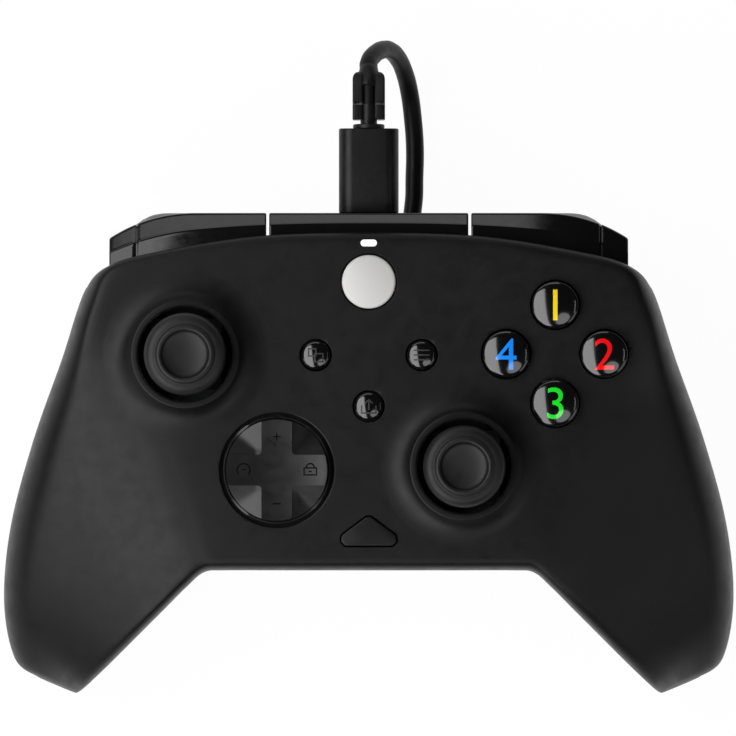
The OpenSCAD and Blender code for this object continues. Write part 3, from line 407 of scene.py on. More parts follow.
def relief_at(angle):
    a = math.radians(angle)
    return Vector((0, RELIEF_Y + RELIEF_BEND * math.sin(a), USB_Z - RELIEF_BEND * (1 - math.cos(a))))


def coil_point(turn):
    radius = COIL_OUT + CORD_D * sum(way * smooth((turn - start) / COIL_STEP) for start, way in STEPS_IN_OUT)
    height = COIL_LOW + CORD_D * sum(smooth((turn - start) / COIL_STEP) for start in CLIMBS)
    a = math.radians(COIL_FROM) + 2 * math.pi * turn
    return Vector((COIL_AT[0] + radius * math.cos(a), COIL_AT[1] + radius * math.sin(a), height))


CORD_EXIT = relief_at(45)
LEAD_ROUTE = [CORD_EXIT, CORD_EXIT + Vector((0, 1.5, -1.5)), (1.2, 83.6, 23.4), (2.6, 84.5, 20.0),
              (4.2, 84.6, 16.2), (5.9, 83.2, 11.8), (7.4, 80.2, 7.4), (8.5, 76.0, 4.0), (9.3, 70.0, 2.2),
              (9.7, 64.0, 1.9), (9.6, 58.0, 1.9), (9.4, 52.4, 1.9), (8.1, 46.2, 1.9), (4.5, 40.9, 1.9),
              (-1.1, 37.4, 2.1)]
TAIL_ROUTE = [(4.0, -21.0, 13.5), (12.0, -21.0, 12.2), (21.0, -21.0, 10.0), (29.4, -21.0, 7.4),
              (35.2, -19.6, 5.6), (39.4, -16.2, 4.4), (FAR_X, FAR_Y - 3, FAR_H / 2),
              (FAR_X, FAR_Y, FAR_H / 2)]


def make_cord():
    last = math.ceil(COIL_TURNS * POINTS_PER_TURN)
    coil = [coil_point(COIL_TURNS * k / last) for k in range(last + 1)]
    way = [Vector(p) * MM for p in LEAD_ROUTE + coil + TAIL_ROUTE]
    curve = bpy.data.curves.new("cord", "CURVE")
    curve.dimensions = "3D"
    line = curve.splines.new("BEZIER")
    line.bezier_points.add(len(way) - 1)
    for point, place in zip(line.bezier_points, way):
        point.co = place
        point.handle_left_type = point.handle_right_type = "AUTO"
    line.resolution_u = 5
    curve.bevel_depth = CORD_D / 2 * MM
    curve.bevel_resolution = 4
    curve.use_fill_caps = True
    curve.materials.append(jacket)
    cord = bpy.data.objects.new("cord", curve)
    scene.collection.objects.link(cord)
    length = sum(s.calc_length() for s in curve.splines)
    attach(cord, "pad")
    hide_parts("cord_lead", "cord_coil", "cord_tail")
    return cord, length


cord, cord_length = make_cord()


def round_box(width, height, radius, steps=7, centre=(0.0, 0.0)):
    """Outline of a box with round corners."""
    points = []
    for turn, (sx, sy) in enumerate(((1, 1), (-1, 1), (-1, -1), (1, -1))):
        for k in range(steps + 1):
            a = math.radians(90 * turn + 90 * k / steps)
            points.append((centre[0] + sx * (width / 2 - radius) + radius * math.cos(a),
                           centre[1] + sy * (height / 2 - radius) + radius * math.sin(a)))
    return points


FAR_SLEEVE = [(0, 0), (2.3, 0), (2.55, 0.3), (2.6, 1.2), (2.35, 1.5), (2.35, 2.1), (2.8, 2.4), (2.9, 3.4),
              (2.6, 3.7), (2.6, 4.3), (3.1, 4.6), (3.4, 6.6), (0, 6.6)]
FAR_BODY = (6.0, 26.0)
GRIP_RIBS = 4
GRIP_RIB_FROM = 9.0
GRIP_RIB_STEP = 2.2
GRIP_RIB_W = 1.1


def make_far_plug():
    body = along_y(round_box(FAR_W, FAR_H, 2.0), FAR_Y + FAR_BODY[0], FAR_Y + FAR_BODY[1], 0.8,
                   (FAR_X, FAR_H / 2))
    lay = Matrix.Translation((FAR_X, FAR_Y, FAR_H / 2)) @ Matrix.Rotation(math.radians(-90), 4, "X")
    sleeve = turned_about(turned(FAR_SLEEVE, steps=48), lay)
    ribs = []
    for side in (-1, 1):
        x = FAR_X + side * FAR_W / 2
        for k in range(GRIP_RIBS):
            y = FAR_Y + GRIP_RIB_FROM + GRIP_RIB_STEP * k
            ribs.append(block((x - 0.35, y, 1.6), (x + 0.25, y + GRIP_RIB_W, 6.0), 0.2))
    return finish_piece("far_plug_grip", join(body, sleeve, *ribs), plug_plastic, "pad", ["far_plug_body"],
                        35)


far_plug = make_far_plug()

# Shells: cross sections from the middle to a grip tip
# Each row: inner x and y, outer x and y, fall of the face, fall of the seam, share of the belly,
# runs of the four edges (top inner, top outer, bottom inner, bottom outer), overhang, hollow
HALF_ROWS = [
    [0, -24.4, 0, 46.2, 0, 0, 1, 5, 6, 9, 9, 1, 1],
    [18, -24.4, 24, 45.4, 0, 0, 1, 5, 6, 9, 9, 1, 1],
    [30, -24.4, 44, 42.2, 0.05, 0, 1, 5, 6, 9, 9, 1, 1],
    [34.4, -24.8, 54, 39.4, 0.3, 0, 0.95, 5, 7, 10, 10, 1, 1],
    [38, -27.8, 59.2, 34.5, 0.95, 1, 0.76, 5, 8, 11, 12, 0, 1],
    [42.5, -32.3, 64.2, 19.8, 2.6, 3.5, 0.47, 5.5, 11, 13, 14, 0, 1],
    [48, -37.8, 70.2, 2.9, 6.2, 7, 0.2, 6, 12.5, 15, 16, 0, 1],
    [54, -43.8, 75, -15, 12, 12, 0.05, 6, 12.5, 14, 15, 0, 1],
    [58.8, -48.4, 76.5, -31, 19, 17, 0, 5.5, 10, 11, 11, 0, 1],
    [60.6, -49.9, 74.3, -43, 26.5, 20.5, 0.1, 4.5, 6, 6, 6, 0, 0],
    [61.4, -50.3, 69.5, -46.9, 33, 22, 0.27, 2.5, 3.5, 3, 3, 0, 0],
]
MID_ROW = len(HALF_ROWS) - 1
LEFT_ROWS = [[-row[0], row[1], -row[2], *row[3:]] for row in HALF_ROWS[:0:-1]]
ROWS = np.array(LEFT_ROWS + HALF_ROWS)
STEPS_PER_ROW = 8
EDGE_N = 16
FACE_N = 22
HOLLOW_N = 6
# How full an edge is: 1 is an ellipse, less is squarer
EDGE_FULL = 0.86
OUTER_FULL = 0.62
INNER_FULL = 0.33
TIP_HOLLOW = 0.03
SKIRT_RUN = 1.6
SEAM_GROOVE = 0.28
# The soft close of a grip tip: rings, how far it bulges, how much it draws in, its lean outwards
TIP_RINGS = 6
TIP_PUSH = 0.12
TIP_DRAW = 0.92
TIP_LEAN = 0.35
# Where the face stays level up to the shoulders
SHOULDER_FROM = 10.0
SHOULDER_RUN = 20.0
# The overhanging edge: distance in from the edge, drop below the face
LIP_PROFILE = [(6, 0), (4.6, 0.02), (3.2, 0.05), (2.2, 0.1), (1.6, 0.22), (1.1, 0.4), (0.8, 0.6),
               (0.5, 0.92), (0.28, 1.28), (0.15, 1.6), (0.06, 2.0), (0, 2.5), (0, LIP_T - 0.15),
               (0.15, LIP_T)]


class Section:
    """One cross section of the body."""

    def __init__(self, t):
        s = spline(ROWS, held(t / (2 * MID_ROW)) * 2 * MID_ROW)
        self.inner, self.outer = Vector(s[0:2]), Vector(s[2:4])
        self.span = (self.outer - self.inner).length
        self.crown, self.seam = FACE_Z - s[4], SEAM_Z - s[5]
        self.floor = max(0.0, BELLY_Z * s[6])
        self.runs = s[7:11]
        self.lip, self.hollow = held(s[11]), max(TIP_HOLLOW, held(s[12]))
        self.skirt = self.span - LIP_OVER * self.lip

    def place(self, offset, height):
        p = self.inner + (self.outer - self.inner).normalized() * offset
        return Vector((p.x, p.y, height))

    def quarter(self, j, count, run, low, high, full=EDGE_FULL):
        a = math.radians(90 * j / count)
        return run * (1 - max(0.0, math.cos(a)) ** full), mix(low, high, math.sin(a) ** full)


def front_points(s):
    inner = [s.quarter(j, EDGE_N, s.runs[0], s.seam, s.crown, INNER_FULL) for j in range(EDGE_N + 1)]
    inner[0] = (0.0, s.seam + SEAM_GROOVE)
    turn = []
    for j in range(EDGE_N, -1, -1):
        offset, height = s.quarter(j, EDGE_N, s.runs[1], s.seam, s.crown, OUTER_FULL)
        turn.append((s.span - offset, height))
    lip = [(s.span - offset, s.crown - drop) for offset, drop in LIP_PROFILE]
    lip += [(s.span - LIP_OVER, s.crown - LIP_T), (s.span - LIP_OVER, mix(s.crown - LIP_T, s.seam, 0.5)),
            (s.span - LIP_OVER, s.seam)]
    outer = [(mix(a[0], b[0], s.lip), mix(a[1], b[1], s.lip)) for a, b in zip(turn, lip)]
    outer[-1] = (outer[-1][0], s.seam + SEAM_GROOVE)
    face = [(mix(s.runs[0], outer[0][0], j / FACE_N), s.crown) for j in range(1, FACE_N)]
    first, last = (SEAM_GROOVE, s.seam), (outer[-1][0] - SEAM_GROOVE, s.seam)
    ceiling = mix(s.seam, s.crown - WALL, s.hollow)
    hollow = hollow_points(s, ceiling, mix(s.runs[1], SKIRT_RUN, s.lip), s.runs[0])
    return [first] + inner + face + outer + [last] + hollow


def back_points(s):
    inner = [s.quarter(j, EDGE_N, s.runs[2], s.seam, s.floor) for j in range(EDGE_N + 1)]
    inner[0] = (0.0, s.seam - SEAM_GROOVE)
    outer = []
    for j in range(EDGE_N, -1, -1):
        offset, height = s.quarter(j, EDGE_N, s.runs[3], s.seam, s.floor)
        outer.append((s.skirt - offset, height))
    outer[-1] = (s.skirt, s.seam - SEAM_GROOVE)
    face = [(mix(s.runs[2], outer[0][0], j / FACE_N), s.floor) for j in range(1, FACE_N)]
    first, last = (SEAM_GROOVE, s.seam), (s.skirt - SEAM_GROOVE, s.seam)
    hollow = hollow_points(s, mix(s.seam, s.floor + WALL, s.hollow), s.runs[3], s.runs[2])
    return [first] + inner + face + outer + [last] + hollow


def hollow_points(s, ceiling, outer_run, inner_run):
    share = 1 - 2 * WALL / s.skirt
    points = []
    for j in range(HOLLOW_N + 1):
        offset, height = s.quarter(j, HOLLOW_N, outer_run * share, s.seam, ceiling, 1.0)
        points.append((s.skirt - WALL - offset, height))
    for j in range(HOLLOW_N, -1, -1):
        offset, height = s.quarter(j, HOLLOW_N, inner_run * share, s.seam, ceiling, 1.0)
        points.append((WALL + offset, height))
    return points


def shell_skin(points_of, level_shoulders=False):
    """A shell from one grip tip to the other, closing softly at the tips."""
    rings = []
    count = 2 * MID_ROW * STEPS_PER_ROW
    for k in range(-TIP_RINGS, count + TIP_RINGS + 1):
        s = Section(k / STEPS_PER_ROW)
        past = max(-k, k - count, 0) / TIP_RINGS
        ring = [s.place(*p) for p in points_of(s)]
        if level_shoulders:
            for p in ring:
                share = (p.z - s.seam) / (s.crown - s.seam) * smooth((p.y - SHOULDER_FROM) / SHOULDER_RUN)
                p.z += share * (FACE_Z - s.crown)
        if past:
            centre = s.place(s.span / 2, s.seam)
            shrink = mix(1.0, math.cos(math.radians(90 * past)), TIP_DRAW)
            way = Vector((math.copysign(TIP_LEAN, s.inner.x), -1, 0)).normalized()
            push = way * TIP_PUSH * math.sin(math.radians(90 * past))
            ring = [centre + (p - centre) * shrink + push for p in ring]
        rings.append(ring)
    return skin(rings)


# Rim of a stick's well: radius and height above the face
RIM_PROFILE = [(WELL_R - 1, -1.9), (WELL_R - 1, RIM_H - 0.7), (WELL_R, RIM_H - 0.35),
               (WELL_R + 0.08, RIM_H - 0.15), (WELL_R + 0.25, RIM_H - 0.03), (WELL_R + 0.5, RIM_H),
               (WELL_R + 1.2, RIM_H), (WELL_R + 1.4, RIM_H - 0.05), (WELL_R + 1.55, RIM_H - 0.2),
               (WELL_R + 1.75, RIM_H * 0.79), (WELL_R + 2.15, RIM_H * 0.62), (WELL_R + 2.6, RIM_H * 0.47),
               (WELL_R + 3.2, RIM_H * 0.32), (WELL_R + 3.9, RIM_H * 0.2), (WELL_R + 4.6, RIM_H * 0.118),
               (WELL_R + 5.4, RIM_H * 0.058), (WELL_R + 6.3, RIM_H * 0.02), (WELL_R + 7.2, 0.012),
               (WELL_R + 8, -0.02), (WELL_R + 8.6, -0.08), (WELL_R + 8.6, -1.9)]
# From where, and over what width, the rim takes up the fall of the face
RIM_FOLLOW = (WELL_R + 1.2, 4.0)


def stick_rim(at, body):
    """A rim that stands on the face and follows its fall."""
    rim = turned_ring([(r, FACE_Z + z) for r, z in RIM_PROFILE], at)
    face = BVHTree.FromBMesh(body)
    for vert in rim.verts:
        share = smooth((math.hypot(vert.co.x - at[0], vert.co.y - at[1]) - RIM_FOLLOW[0]) / RIM_FOLLOW[1])
        if share:
            place = face.ray_cast(Vector((vert.co.x, vert.co.y, 100)), Vector((0, 0, -1)))[0]
            vert.co.z += share * (place.z - FACE_Z)
    return rim


CUT_TOP = FACE_Z + 20


def hole(at, radius, flare, low=SEAM_Z + 0.5, steps=96):
    """A tool for a round opening whose top edge is eased."""
    wide = radius + flare
    return turned([(0, low), (radius, low), (radius, FACE_Z - flare),
                   (radius + flare * 0.3, FACE_Z - flare * 0.3), (wide, FACE_Z + 0.001), (wide, CUT_TOP),
                   (0, CUT_TOP)], at, steps)


def corner_rounded(points, radius, steps=6):
    """A flat outline with its corners rounded."""
    out = []
    count = len(points)
    for i in range(count):
        p = Vector(points[i])
        to_a = (Vector(points[i - 1]) - p).normalized()
        to_b = (Vector(points[(i + 1) % count]) - p).normalized()
        half = to_a.angle(to_b) / 2
        mid = p + (to_a + to_b).normalized() * radius / math.sin(half)
        start, end = p + to_a * radius / math.tan(half) - mid, p + to_b * radius / math.tan(half) - mid
        for k in range(steps + 1):
            out.append(tuple(mid + start.lerp(end, k / steps).normalized() * radius))
    return out


TRI_W, TRI_D, TRI_R = 17.4, 6.48, 1.4
TRI_SLOPE = math.atan(2 * TRI_D / TRI_W)
TRI_TAB = (7.1, 1.2)
TRI_STEM_R = 1.6


def triangle(grow):
    """Outline of the function key, drawn between its sharp corners and then rounded."""
    half = TRI_W / 2 + grow / math.tan(TRI_SLOPE / 2)
    return corner_rounded([(-half, -TRI_D / 2 - grow), (half, -TRI_D / 2 - grow),
                           (0, TRI_D / 2 + grow / math.cos(TRI_SLOPE))], TRI_R + grow)


def moved(outline, at):
    return [(x + at[0], y + at[1]) for x, y in outline]


def pill(width, depth, steps=10):
    return round_box(width, depth, depth / 2 - 0.001, steps)


def face_key_at(side):
    way = FACE_KEYS[side]
    return (CLUSTER[0] + way[0] * CLUSTER_STEP, CLUSTER[1] + way[1] * CLUSTER_STEP)


# Room at the seam for the triggers' hinges, and for the cord's socket
HINGE_ROOM = (30.8, 46.7)
HINGE_ROOM_LOW = (30.0, 23.4)
HINGE_ROOM_HIGH = (48.0, 33.4)


def notch_tools():
    low, high = HINGE_ROOM
    return [block((low, *HINGE_ROOM_LOW), (high, *HINGE_ROOM_HIGH)),
            block((-high, *HINGE_ROOM_LOW), (-low, *HINGE_ROOM_HIGH)),
            block((-7.0, 36.0, 28.0), (7.0, 42.5, 37.0))]


def rod(radius, low, high, at, steps=24):
    """A plain upright rod."""
    return turned([(0, low), (radius, low), (radius, high), (0, high)], at, steps)


DPAD_HOLE_R = 11.95
LED_SIZE = (3.4, 1.4)
LED_GAP = 0.1
SHELL_CREASE = 32
BOSS_R = 2.8
SCREW_PILOT_R = 0.9


def make_front_shell():
    body = shell_skin(front_points, level_shoulders=True)
    rims = [stick_rim(at, body) for at in (LEFT_STICK, RIGHT_STICK)]
    bosses = [rod(BOSS_R, SEAM_Z, UNDER_FACE + 0.3, at) for at in SCREWS]
    body = carve(body, join(*rims, *bosses), "UNION")
    tools = [hole(LEFT_STICK, WELL_R, 0.0), hole(RIGHT_STICK, WELL_R, 0.0), hole(DPAD, DPAD_HOLE_R, 0.3)]
    tools += [hole(face_key_at(side), KEY_R + KEY_GAP, 0.2) for side in FACE_KEYS]
    tools += [hole(at, SMALL_R + KEY_GAP, 0.16) for at in SMALL_KEYS.values()]
    tools.append(hole(GUIDE, GUIDE_R + KEY_GAP, 0.16, UNDER_FACE - 3.4))
    tools.append(prism(moved(triangle(KEY_GAP), FUNCTION), SEAM_Z + 1, CUT_TOP))
    lens_room = pill(*(side + 2 * LED_GAP for side in LED_SIZE))
    tools.append(prism(moved(lens_room, LED), SEAM_Z + 9, CUT_TOP))
    tools += [rod(SCREW_PILOT_R, SEAM_Z - 1, FACE_Z - 4, at) for at in SCREWS]
    body = carve(body, join(*tools))
    body = carve(body, join(*notch_tools()))
    return finish_piece("front_shell_body", body, shell_plastic, "pad", ["front_shell"],
                        SHELL_CREASE, weighted=True)


make_front_shell()


POST_R = 3.1
POST_LOW = 20.0
# Screw hole in the back shell: radius and height, wide for the head and narrow for the thread
SCREW_HOLE = [(0, -1), (2.45, -1), (2.45, 23), (1.3, 23), (1.3, 43), (0, 43)]
# The ledge under the bridge
CHIN = [(-BRIDGE_HALF, 38), (BRIDGE_HALF, 38), (BRIDGE_HALF, 48.3), (18.8, 49.9), (-18.8, 49.9),
        (-BRIDGE_HALF, 48.3)]
CHIN_Z = (24.6, 26.8)
# Hole round the headset socket: radius and distance outwards
JACK_HOLE = [(0, 0), (3.2, 0), (3.2, 8.6), (3.7, 9.6), (3.7, 12), (0, 12)]
JACK_FROM = (0, -15, 26.6)


def make_back_shell():
    body = shell_skin(back_points)
    posts = [rod(POST_R, POST_LOW, SEAM_Z, at, 32) for at in SCREWS]
    body = carve(body, join(*posts, prism(CHIN, *CHIN_Z, 0.4)), "UNION")
    holes = [turned(SCREW_HOLE, at, 40) for at in SCREWS]
    outwards = Matrix.Translation(JACK_FROM) @ Matrix.Rotation(math.radians(90), 4, "X")
    jack = turned_about(turned(JACK_HOLE, steps=48), outwards)
    body = carve(body, join(*holes, jack))
    body = carve(body, join(*notch_tools()))
    return finish_piece("back_shell_body", body, back_plastic, "pad", ["back_shell"],
                        SHELL_CREASE, weighted=True)


make_back_shell()

# Glossy strip: bridge in the middle, a bumper each side
LIP_FRONT = 46.2
LIP_SWEEP = 6.7
LIP_END = 53.7
STRIP_FRONT = 50.3
STRIP_SWEEP = 5.3
STRIP_STRAIGHT = 36.0
BRIDGE_LOW = 27.0
BUMPER_FALL = 2.2
BUMPER_PIN = (23.0, 43.9)
BUMPER_HUB = [(1.25, 36.4), (2.2, 36.4), (2.2, STRIP_TOP - 1), (0, STRIP_TOP - 1), (0, STRIP_TOP - 2.2),
              (1.25, STRIP_TOP - 2.2), (1.25, 36.4)]
SOCKET_MOUTH = (9.54, 3.86, 1.8)
# Top of the strip: where it bends, the slope before the bend and after it
STRIP_BEND = 0.42
STRIP_LEVEL = 0.13
STRIP_SLOPE = 0.62


def lip_y(x):
    """Front of the overhanging edge."""
    return LIP_FRONT - LIP_SWEEP * (abs(x) / LIP_END) ** 2.6


def strip_y(x):
    """Front of the strip."""
    past = max(0.0, abs(x) - STRIP_STRAIGHT) / (BUMPER_END - STRIP_STRAIGHT)
    return STRIP_FRONT - STRIP_SWEEP * past ** 2.2


def strip_ring(x, rear, low, inset=0.0):
    """Cross section of the strip at x, drawn in by inset."""
    fall = BUMPER_FALL * (max(0.0, x - BUMPER_START) / (BUMPER_END - BUMPER_START)) ** 2
    front, lip = strip_y(x) - inset, lip_y(x)
    top, wall = STRIP_TOP - inset - fall, STRIP_T - inset
    start, back = lip + 0.3, front - 0.3
    middle = mix(start, front - 1.9, 0.55)
    bend = mix(start, front, STRIP_BEND)
    drop = 0.1 + STRIP_LEVEL * (bend - start)
    edge = top - drop - STRIP_SLOPE * (back - bend)
    outer = [(rear, top), (mix(rear, start, 0.7), top - 0.03)]
    outer += [(mix(start, bend, k / 4), top - mix(0.1, drop, k / 4)) for k in range(5)]
    outer += [(mix(bend, back, k / 5), mix(top - drop, edge, k / 5) - 0.03)
              for k in (0.4, 1, 2, 3, 4, 4.6, 5)]
    outer += [(front - 0.12, edge - 0.22), (front - 0.03, edge - 0.45), (front, edge - 0.8),
              (front, top - 5.6), (front, low + 0.5), (front - 0.12, low + 0.15), (front - 0.4, low)]
    inner = [(front - wall, low), (front - wall - 0.1, top - 5.2), (front - wall - 1.2, top - 4),
             (middle - 0.5, top - 2.8), (lip, top - 0.1 - wall), (rear, top - wall)]
    return [Vector((x, y, z)) for y, z in outer + inner]


# Distance from an end, or from a groove's middle, and how far the strip is drawn in there
END_EASE = [(0.0, 0.22), (0.08, 0.1), (0.22, 0.02), (0.4, 0.0)]
GROOVE_EASE = [(-0.4, 0.0), (-0.26, 0.05), (-0.16, 0.32), (0.16, 0.32), (0.26, 0.05), (0.4, 0.0)]
GROOVE_X = 48.45


def strip_stations(start, end, count, groove=None):
    """Places along the strip with the drawing in at each, eased at both ends and at a groove."""
    length = end - start
    stations = [(start + d, inset) for d, inset in END_EASE]
    stations += [(start + 0.4 + (length - 0.8) * k / count, 0.0) for k in range(1, count)]
    stations += [(end - d, inset) for d, inset in reversed(END_EASE)]
    if groove:
        stations = [s for s in stations if abs(s[0] - groove) > 0.5]
        stations += [(groove + d, inset) for d, inset in GROOVE_EASE]
    return sorted(stations)


def make_bridge():
    rings = [strip_ring(x, lip_y(x) - LIP_OVER + 0.2, BRIDGE_LOW, inset)
             for x, inset in strip_stations(-BRIDGE_HALF, BRIDGE_HALF, 40)]
    mouth = along_y(round_box(*SOCKET_MOUTH), 40.0, 56.0, 0, (0, USB_Z))
    return finish_piece("bridge_strip", carve(skin(rings), mouth), strip_plastic, "pad", ["bridge"])


make_bridge()


def make_bumper(side, name):
    rings = [strip_ring(x, lip_y(x) - 2.5, STRIP_LOW, inset)
             for x, inset in strip_stations(BUMPER_START, BUMPER_END, 46, GROOVE_X)]
    whole = on_side(join(skin(rings), turned(BUMPER_HUB, BUMPER_PIN, 32)), side)
    return finish_piece(f"{name}_bar", whole, strip_plastic, name, [name])


for hand, way_out in SIDES.items():
    make_bumper(way_out, f"{hand}_bumper")

# Triggers: front curve of the finger face from top to tip
TRIGGER_FRONT = [(49.2, 33.3), (50.1, 30), (50.25, 25.5), (49.2, 19.5), (46.4, 13), (42.4, 8.2),
                 (39.8, 6.2)]
TRIGGER_DEPTH = [[8.5], [8], [7], [5.6], [4], [2.9], [2]]
# Distance from a side, how full the section is there, and how much shorter
TRIGGER_ENDS = [(0, 0.3, 0.17), (0.18, 0.52, 0.13), (0.5, 0.72, 0.095), (0.95, 0.83, 0.068),
                (1.4, 0.9, 0.05), (2.1, 0.96, 0.03), (3, 1, 0.015), (4.2, 1, 0.005), (5.5, 1, 0)]
TRIGGER_IN = 29.0
TRIGGER_W = 22.5
TRIGGER_T = 2.9
PIVOT_Y = 44.0
HINGE_Z = 29.5
TRIGGER_HUB = [(1.05, 34), (3, 34), (3, 39.5), (1.05, 39.5), (1.05, 34)]
TRIGGER_WEB = [(PIVOT_Y + 2.2, HINGE_Z + 2.4), (48.0, HINGE_Z + 2.4), (48.0, 24.0), (47.2, 20.0),
               (PIVOT_Y + 1.6, HINGE_Z - 2.4)]
TRIGGER_WEBS_AT = (34.0, 37.7)
TRIGGER_WEB_T = 1.8
TRIGGER_MARKS = [6 * k / 40 for k in range(41)]
# Share of the depth by which the finger face sweeps back towards its outer end
SWEEP_FROM = 12.0
SWEEP_MOST = 0.8
SWEEP_CURVE = 2.8


def trigger_side(s, depth):
    """A place along the finger face, set back from it by depth."""
    after, before = spline(TRIGGER_FRONT, min(6, s + 0.05)), spline(TRIGGER_FRONT, max(0, s - 0.05))
    way = Vector(after - before).normalized()
    return Vector(spline(TRIGGER_FRONT, s)) + Vector((way.y, -way.x)) * depth


def trigger_ring(x, full, short):
    sweep = SWEEP_MOST * (max(0.0, x - TRIGGER_IN - SWEEP_FROM) / (TRIGGER_W - SWEEP_FROM)) ** SWEEP_CURVE
    ease = (1 - full) * 2
    front, rear = [], []
    for mark in TRIGGER_MARKS:
        s = mark * (1 - short)
        depth = spline(TRIGGER_DEPTH, s)[0]
        front.append(trigger_side(s, ease + sweep * (depth - ease)))
        rear.append(trigger_side(s, depth - (1 - full) * 0.8))
    return [Vector((x, p.x, p.y)) for p in front + rear[::-1]]


def make_trigger(side, name):
    far = TRIGGER_IN + TRIGGER_W
    rings = [trigger_ring(TRIGGER_IN + e[0], e[1], e[2]) for e in TRIGGER_ENDS]
    rings += [trigger_ring(TRIGGER_IN + 5.5 + (TRIGGER_W - 11) * k / 16, 1, 0) for k in range(1, 16)]
    rings += [trigger_ring(far - e[0], e[1], e[2]) for e in reversed(TRIGGER_ENDS)]
    body = skin(rings)
    room = [trigger_side(m / 4, TRIGGER_T) for m in range(20)]
    top = room[0] + Vector((0, 4))
    room = [top, *room, Vector((36, 9)), Vector((30, 20)), Vector((30, top.y))]
    body = carve(body, across([tuple(p) for p in room], *HINGE_ROOM))
    lay = Matrix.Translation((0, PIVOT_Y, HINGE_Z)) @ Matrix.Rotation(math.radians(90), 4, "Y")
    hub = turned_about(turned(TRIGGER_HUB, steps=40), lay)
    webs = [across(TRIGGER_WEB, x, x + TRIGGER_WEB_T) for x in TRIGGER_WEBS_AT]
    whole = on_side(join(body, hub, *webs), side)
    return finish_piece(f"{name}_lever", whole, trigger_plastic, name, [name])


for hand, way_out in SIDES.items():
    make_trigger(way_out, f"{hand}_trigger")

# Stick caps: radius and height above the face
CAP_R = 8.6
NECK_R = 2.7
CAP_TOP = [(0, 11.3), (1.4, 11.33), (2.6, 11.43), (3.6, 11.6), (4.3, 11.78), (4.72, 11.95), (4.82, 12.2),
           (4.95, 12.52), (5.15, 12.74), (5.4, 12.82), (5.7, 12.79), (5.95, 12.66), (6.12, 12.42),
           (6.2, 12.2), (6.34, 12.12), (6.6, 12.14), (7.1, 12.04), (7.6, 11.85), (8.05, 11.5), (8.37, 11.05),
           (8.55, 10.5)]
CAP_SIDE = [(CAP_R, 10.0), (CAP_R, 9.5), (8.45, 9.0), (8.1, 8.6), (7.3, 8.0), (6.4, 7.6), (5.2, 7.35),
            (4.2, 7.0), (3.3, 6.4), (2.9, 5.6), (NECK_R, 4.6), (NECK_R, 1.0), (1.55, 1.0), (1.55, 6.0),
            (0, 6.0)]


def make_stick(at, name):
    profile = [(r, FACE_Z + z) for r, z in CAP_TOP + CAP_SIDE]
    return finish_piece(f"{name}_cap_rubber", turned(profile, at, 128), stick_rubber, name, [f"{name}_cap"],
                        50)


make_stick(LEFT_STICK, "left_stick")
make_stick(RIGHT_STICK, "right_stick")

# Round keys: a domed top, two tabs under the face and a stem
TAB_TOP = UNDER_FACE - 0.8
TAB_LOW = TAB_TOP - 1.1
TAB_OUT = 0.9
TAB_HALF = 1.8
KEY_EDGE = 2.0
KEY_DOME = 1.1
KEY_STEM_R = 2.6
SMALL_EDGE = 0.6
SMALL_DOME = 0.8
SMALL_STEM_R = 2.0
GUIDE_EDGE = 0.5
GUIDE_DOME = 0.7
GUIDE_STEM_R = 1.8
STEM_LOW = BOARD_TOP + 1.2 + 2.8 + 0.25
SWITCH_LOW = BOARD_TOP + 3.6 + 0.75
INK_LIFT = 0.02
NUMERAL_SIZE = 9.4


def dome_height(r, radius, edge, dome):
    """Height of a key's top at a distance from its middle."""
    return FACE_Z + edge + dome * (1 - (r / radius) ** 2)


def key_shape(at, radius, edge, dome, low, stem_r):
    top = [(radius * k / 14, dome_height(radius * k / 14, radius, edge, dome)) for k in range(13)]
    shoulder = [(radius - 0.32, FACE_Z + edge + 0.1), (radius - 0.14, FACE_Z + edge - 0.02),
                (radius - 0.04, FACE_Z + edge - 0.16), (radius, FACE_Z + edge - 0.4)]
    profile = top + shoulder + [(radius, TAB_LOW), (stem_r, TAB_LOW), (stem_r, low), (0, low)]
    tabs = block((at[0] - radius - TAB_OUT, at[1] - TAB_HALF, TAB_LOW),
                 (at[0] + radius + TAB_OUT, at[1] + TAB_HALF, TAB_TOP), 0.15)
    return join(turned(profile, at, 112), tabs)


def lay_on_dome(bm, at, radius, edge, dome, step=0.35):
    """A flat mark cut into small strips and laid on a key's dome."""
    for axis in (0, 1):
        lowest = min(v.co[axis] for v in bm.verts)
        highest = max(v.co[axis] for v in bm.verts)
        place = lowest + step
        normal = Vector((1, 0, 0)) if axis == 0 else Vector((0, 1, 0))
        while place < highest:
            whole = bm.verts[:] + bm.edges[:] + bm.faces[:]
            bmesh.ops.bisect_plane(bm, geom=whole, plane_co=normal * place, plane_no=normal)
            place += step
    for vert in bm.verts:
        vert.co.z = dome_height(math.hypot(vert.co.x, vert.co.y), radius, edge, dome) + INK_LIFT
    bmesh.ops.translate(bm, vec=(at[0], at[1], 0), verts=bm.verts)
    return bm


def numeral(text, size):
    """A plain numeral as a flat mesh about the origin."""
    letter = bpy.data.curves.new("numeral", "FONT")
    letter.body = text
    letter.size = size
    letter.align_x = "CENTER"
    letter.align_y = "CENTER"
    letter.resolution_u = 8
    thing = bpy.data.objects.new("numeral", letter)
    scene.collection.objects.link(thing)
    graph = bpy.context.evaluated_depsgraph_get()
    mesh = bpy.data.meshes.new_from_object(thing.evaluated_get(graph))
    bm = bmesh.new()
    bm.from_mesh(mesh)
    bpy.data.objects.remove(thing)
    bpy.data.curves.remove(letter)
    bpy.data.meshes.remove(mesh)
    bmesh.ops.remove_doubles(bm, verts=bm.verts, dist=1e-4)
    xs, ys = [v.co.x for v in bm.verts], [v.co.y for v in bm.verts]
    bmesh.ops.translate(bm, vec=(-(min(xs) + max(xs)) / 2, -(min(ys) + max(ys)) / 2, 0), verts=bm.verts)
    return bm


